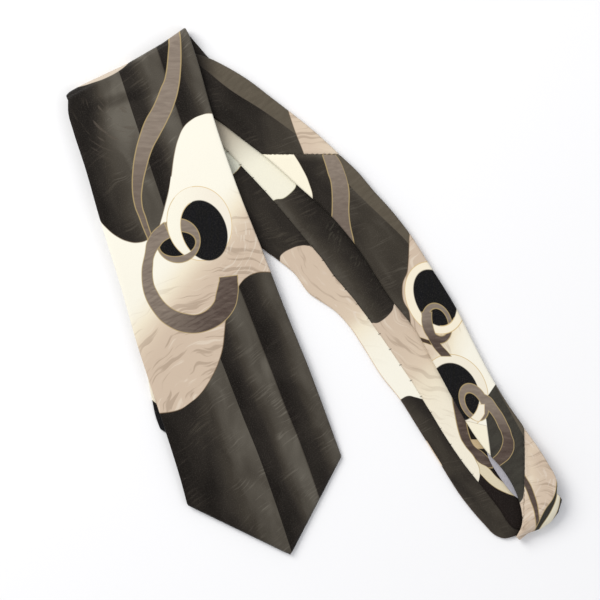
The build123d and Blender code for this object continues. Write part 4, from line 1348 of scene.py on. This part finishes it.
BACK_CLEAR = GAUGE / 2 + LAP_RISE + 0.12
LEAF_TURN = 17.0
CARE_TURN = 10.0
blade_lining_cloth = tip_lining("blade_lining_cloth", front_strip, FRONT_OPENING, 0)
tail_lining_cloth = tip_lining("tail_lining_cloth", tail_strip, TAIL_OPENING, -1)
keeper_band = flat_label("keeper_band", "keeper_loop", front_height, -BACK_CLEAR, -0.35, BLADE_PRINT, 0.45,
                         LEAF_TURN)
maker_label_cloth = flat_label("maker_label_cloth", "maker_label", front_height, -BACK_CLEAR, 0.0, LABEL,
                               0.2, LEAF_TURN)
care_label_cloth = flat_label("care_label_cloth", "care_label", tail_height, BACK_CLEAR, 0.0, CARE, 0.15,
                              CARE_TURN)


# ---------------------------------------------------------------- sewing
THREAD_RADIUS = 0.13
SLIP_SPACING = 12.0
TACK_WRAPS = 11
TACK_SPACING = 0.17
DROP_FROM = 0.1


def spot(strip, distance, aside, height):
    """Point at a distance along a strip and an offset from its seam, both in millimetres."""
    row = np.interp(distance, strip.travelled(), np.arange(len(strip)))
    first = min(int(row), len(strip) - 2)
    found = []
    for station in (first, first + 1):
        place = np.array([[strip.seam[station] + aside / strip.widths()[station]]])
        found.append(strip.place([station], place, np.array([[height]]))[0, 0])
    return found[0] + (found[1] - found[0]) * (row - first)


def slip_stitch(strip, distance):
    """One stitch over the lap's edge."""
    shape = ((-0.9, 0.02), (-0.2, 0.25), (0.2, 0.55), (0.9, 0.45))
    return [spot(strip, distance + 0.25 * aside, aside, -GAUGE / 2 - rise - 0.06) for aside, rise in shape]


def slip_seam(name, strip, start, end):
    return threads(name, [slip_stitch(strip, d) for d in np.arange(start, end, SLIP_SPACING)],
                   THREAD_RADIUS, THREAD)


def tack(name, strip, distance):
    """Bar tack across the top of a tip's open back."""
    lines = []
    for k in range(TACK_WRAPS):
        wrap = distance + (k - TACK_WRAPS / 2) * TACK_SPACING
        shape = ((-4.4, 0.0), (-3.0, 0.22), (0.0, 0.5 + 0.08 * (k % 2)), (3.0, 0.58), (4.4, 0.4))
        lines.append([spot(strip, wrap, aside, -GAUGE / 2 - rise) for aside, rise in shape])
    return threads(name, lines, THREAD_RADIUS, THREAD)


def piecing(name, start, end, count, offset):
    """Stitches along a cross seam, lying on the strip's face."""
    graph = bpy.context.evaluated_depsgraph_get()
    start, end, offset = np.array(start), np.array(end), np.array(offset)
    lines = []
    for k in range(count):
        middle = start + (end - start) * (k + 0.5) / count
        run = (end - start) / np.linalg.norm(end - start)
        line = []
        for along, sink in ((-0.9, 0.12), (-0.45, 0.0), (0.45, 0.0), (0.9, 0.12)):
            plan = middle + run * along
            above = Vector((*((plan + offset) * MM), DROP_FROM))
            place = bpy.context.scene.ray_cast(graph, above, Vector((0, 0, -1)))[1]
            line.append((plan[0], plan[1], place.z / MM - sink))
        lines.append(line)
    return threads(name, lines, THREAD_RADIUS, PIECING_THREAD)


fold_run = front_strip.travelled()[len(front_leaf)]
blade_tack_threads = tack("blade_tack_threads", front_strip, FRONT_OPENING["tack"] + 1.0)
tail_tack_threads = tack("tail_tack_threads", tail_strip,
                         tail_strip.travelled()[-1] - TAIL_OPENING["tack"] - 1.0)
blade_slip_threads = slip_seam("blade_slip_threads", front_strip, FRONT_OPENING["tack"] + 12.0,
                               fold_run - 12.0)
under_slip_threads = slip_seam("under_slip_threads", under_leaf, 12.0, under_leaf.travelled()[-1] - 8.0)
neck_slip_threads = slip_seam("neck_slip_threads", neck_leaf, 40.0, neck_leaf.travelled()[-1] - 20.0)
tail_slip_threads = slip_seam("tail_slip_threads", tail_strip, 30.0,
                              tail_strip.travelled()[-1] - TAIL_OPENING["tack"] - 10.0)
blade_neck_seam_threads = piecing("blade_neck_seam_threads", (BLADE_NECK_SEAM_X, -91.0),
                                  (BLADE_NECK_SEAM_X, -137.0), 15, (-0.5, 0.0))
neck_tail_seam_threads = piecing("neck_tail_seam_threads", (-30.0, NECK_TAIL_SEAM_Y),
                                 (13.8, NECK_TAIL_SEAM_Y), 16, (0.0, -0.5))

# ---------------------------------------------------------------- rides
BEND_LEAN = 0.05
BLADE_BEND = (UNDER_HEIGHT + 1.4, FRONT_HEIGHT - 1.5)
TAIL_BEND = (NECK_HEIGHT + 1.05, TAIL_HEIGHT - 1.0)


def across_fold(piece, fold, bend):
    """Works out a leaning line across a fold between the bend's two heights, and bakes the piece's placing
    into its mesh; the piece is not bent.
    """
    low, high = bend
    lean = np.append(fold.inward * BEND_LEAN, 1.0)
    start = np.append(fold.middle, low)
    end = start + lean * (high - low) / (lean @ lean)
    tuple(end * MM)
    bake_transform(piece)


across_fold(blade_silk, BLADE_FOLD, BLADE_BEND)
across_fold(tail_silk, TAIL_FOLD, TAIL_BEND)
across_fold(blade_wool, BLADE_FOLD, BLADE_BEND)
across_fold(tail_wool, TAIL_FOLD, TAIL_BEND)
for piece in (under_silk, neck_silk, tail_start_silk, under_wool, neck_wool, under_slip_threads,
              neck_slip_threads, blade_neck_seam_threads, neck_tail_seam_threads):
    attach(piece, "arm")
for piece in (blade_lining_cloth, keeper_band, maker_label_cloth, blade_tack_threads, blade_slip_threads):
    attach(piece, "front_leaf")
for piece in (tail_lining_cloth, care_label_cloth, tail_tack_threads, tail_slip_threads):
    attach(piece, "tail_leaf")
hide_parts("blade_shell", "blade_fold_shell")
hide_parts("under_blade_shell", "neck_turn_shell")
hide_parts("neck_shell")
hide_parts("tail_upper_shell")
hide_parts("tail_shell", "tail_fold_shell")
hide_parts("blade_interlining", "blade_fold_interlining")
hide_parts("under_blade_interlining")
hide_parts("neck_interlining", "neck_turn_interlining")
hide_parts("tail_interlining", "tail_fold_interlining")
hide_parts("blade_lining")
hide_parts("tail_lining")
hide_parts("keeper_loop")
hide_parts("maker_label")
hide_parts("care_label")
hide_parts("blade_bar_tack")
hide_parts("tail_bar_tack")
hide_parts("blade_slip_stitches")
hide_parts("under_slip_stitches")
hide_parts("neck_slip_stitches")
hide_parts("tail_slip_stitches")
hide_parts("blade_neck_seam_stitches")
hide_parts("neck_tail_seam_stitches")

# ---------------------------------------------------------------- floor
bpy.ops.mesh.primitive_plane_add(size=6.0, location=(0, 0, 0))
floor = bpy.context.object
floor.name = "floor"
paper = bpy.data.materials.new("pale_floor")
paper.use_nodes = True
paper.node_tree.nodes["Principled BSDF"].inputs["Base Color"].default_value = (0.86, 0.86, 0.87, 1)
paper.node_tree.nodes["Principled BSDF"].inputs["Roughness"].default_value = 0.9
floor.data.materials.append(paper)


# ---------------------------------------------------------------- light and camera
world = bpy.data.worlds.new("studio")
bpy.context.scene.world = world
world.use_nodes = True
world.node_tree.nodes["Background"].inputs["Color"].default_value = (0.97, 0.98, 1.0, 1)
world.node_tree.nodes["Background"].inputs["Strength"].default_value = 0.6
bpy.context.scene.view_settings.view_transform = "Standard"


def soft_light(name, place, size, power, tint):
    lamp = bpy.data.lights.new(name, "AREA")
    lamp.size = size
    lamp.energy = power
    lamp.color = tint
    stand = bpy.data.objects.new(name, lamp)
    stand.location = place
    stand.rotation_euler = (-Vector(place)).to_track_quat("-Z", "Y").to_euler()
    bpy.context.scene.collection.objects.link(stand)


soft_light("key_light", (-1.1, 1.0, 1.3), 1.2, 32.5, (1.0, 0.985, 0.955))
soft_light("fill_light", (1.3, -0.7, 1.5), 1.4, 7.0, (0.95, 0.95, 1.0))

VIEW_MIDDLE = (-9.4, -6.2)
VIEW_FIELD = 390.0
LENS, SENSOR = 150.0, 36.0
camera = bpy.data.objects.new("camera", bpy.data.cameras.new("camera"))
camera.data.lens = LENS
camera.data.sensor_width = SENSOR
camera.location = (VIEW_MIDDLE[0] * MM, VIEW_MIDDLE[1] * MM, (VIEW_FIELD * LENS / SENSOR + 5.0) * MM)
bpy.context.scene.collection.objects.link(camera)
bpy.context.scene.camera = camera
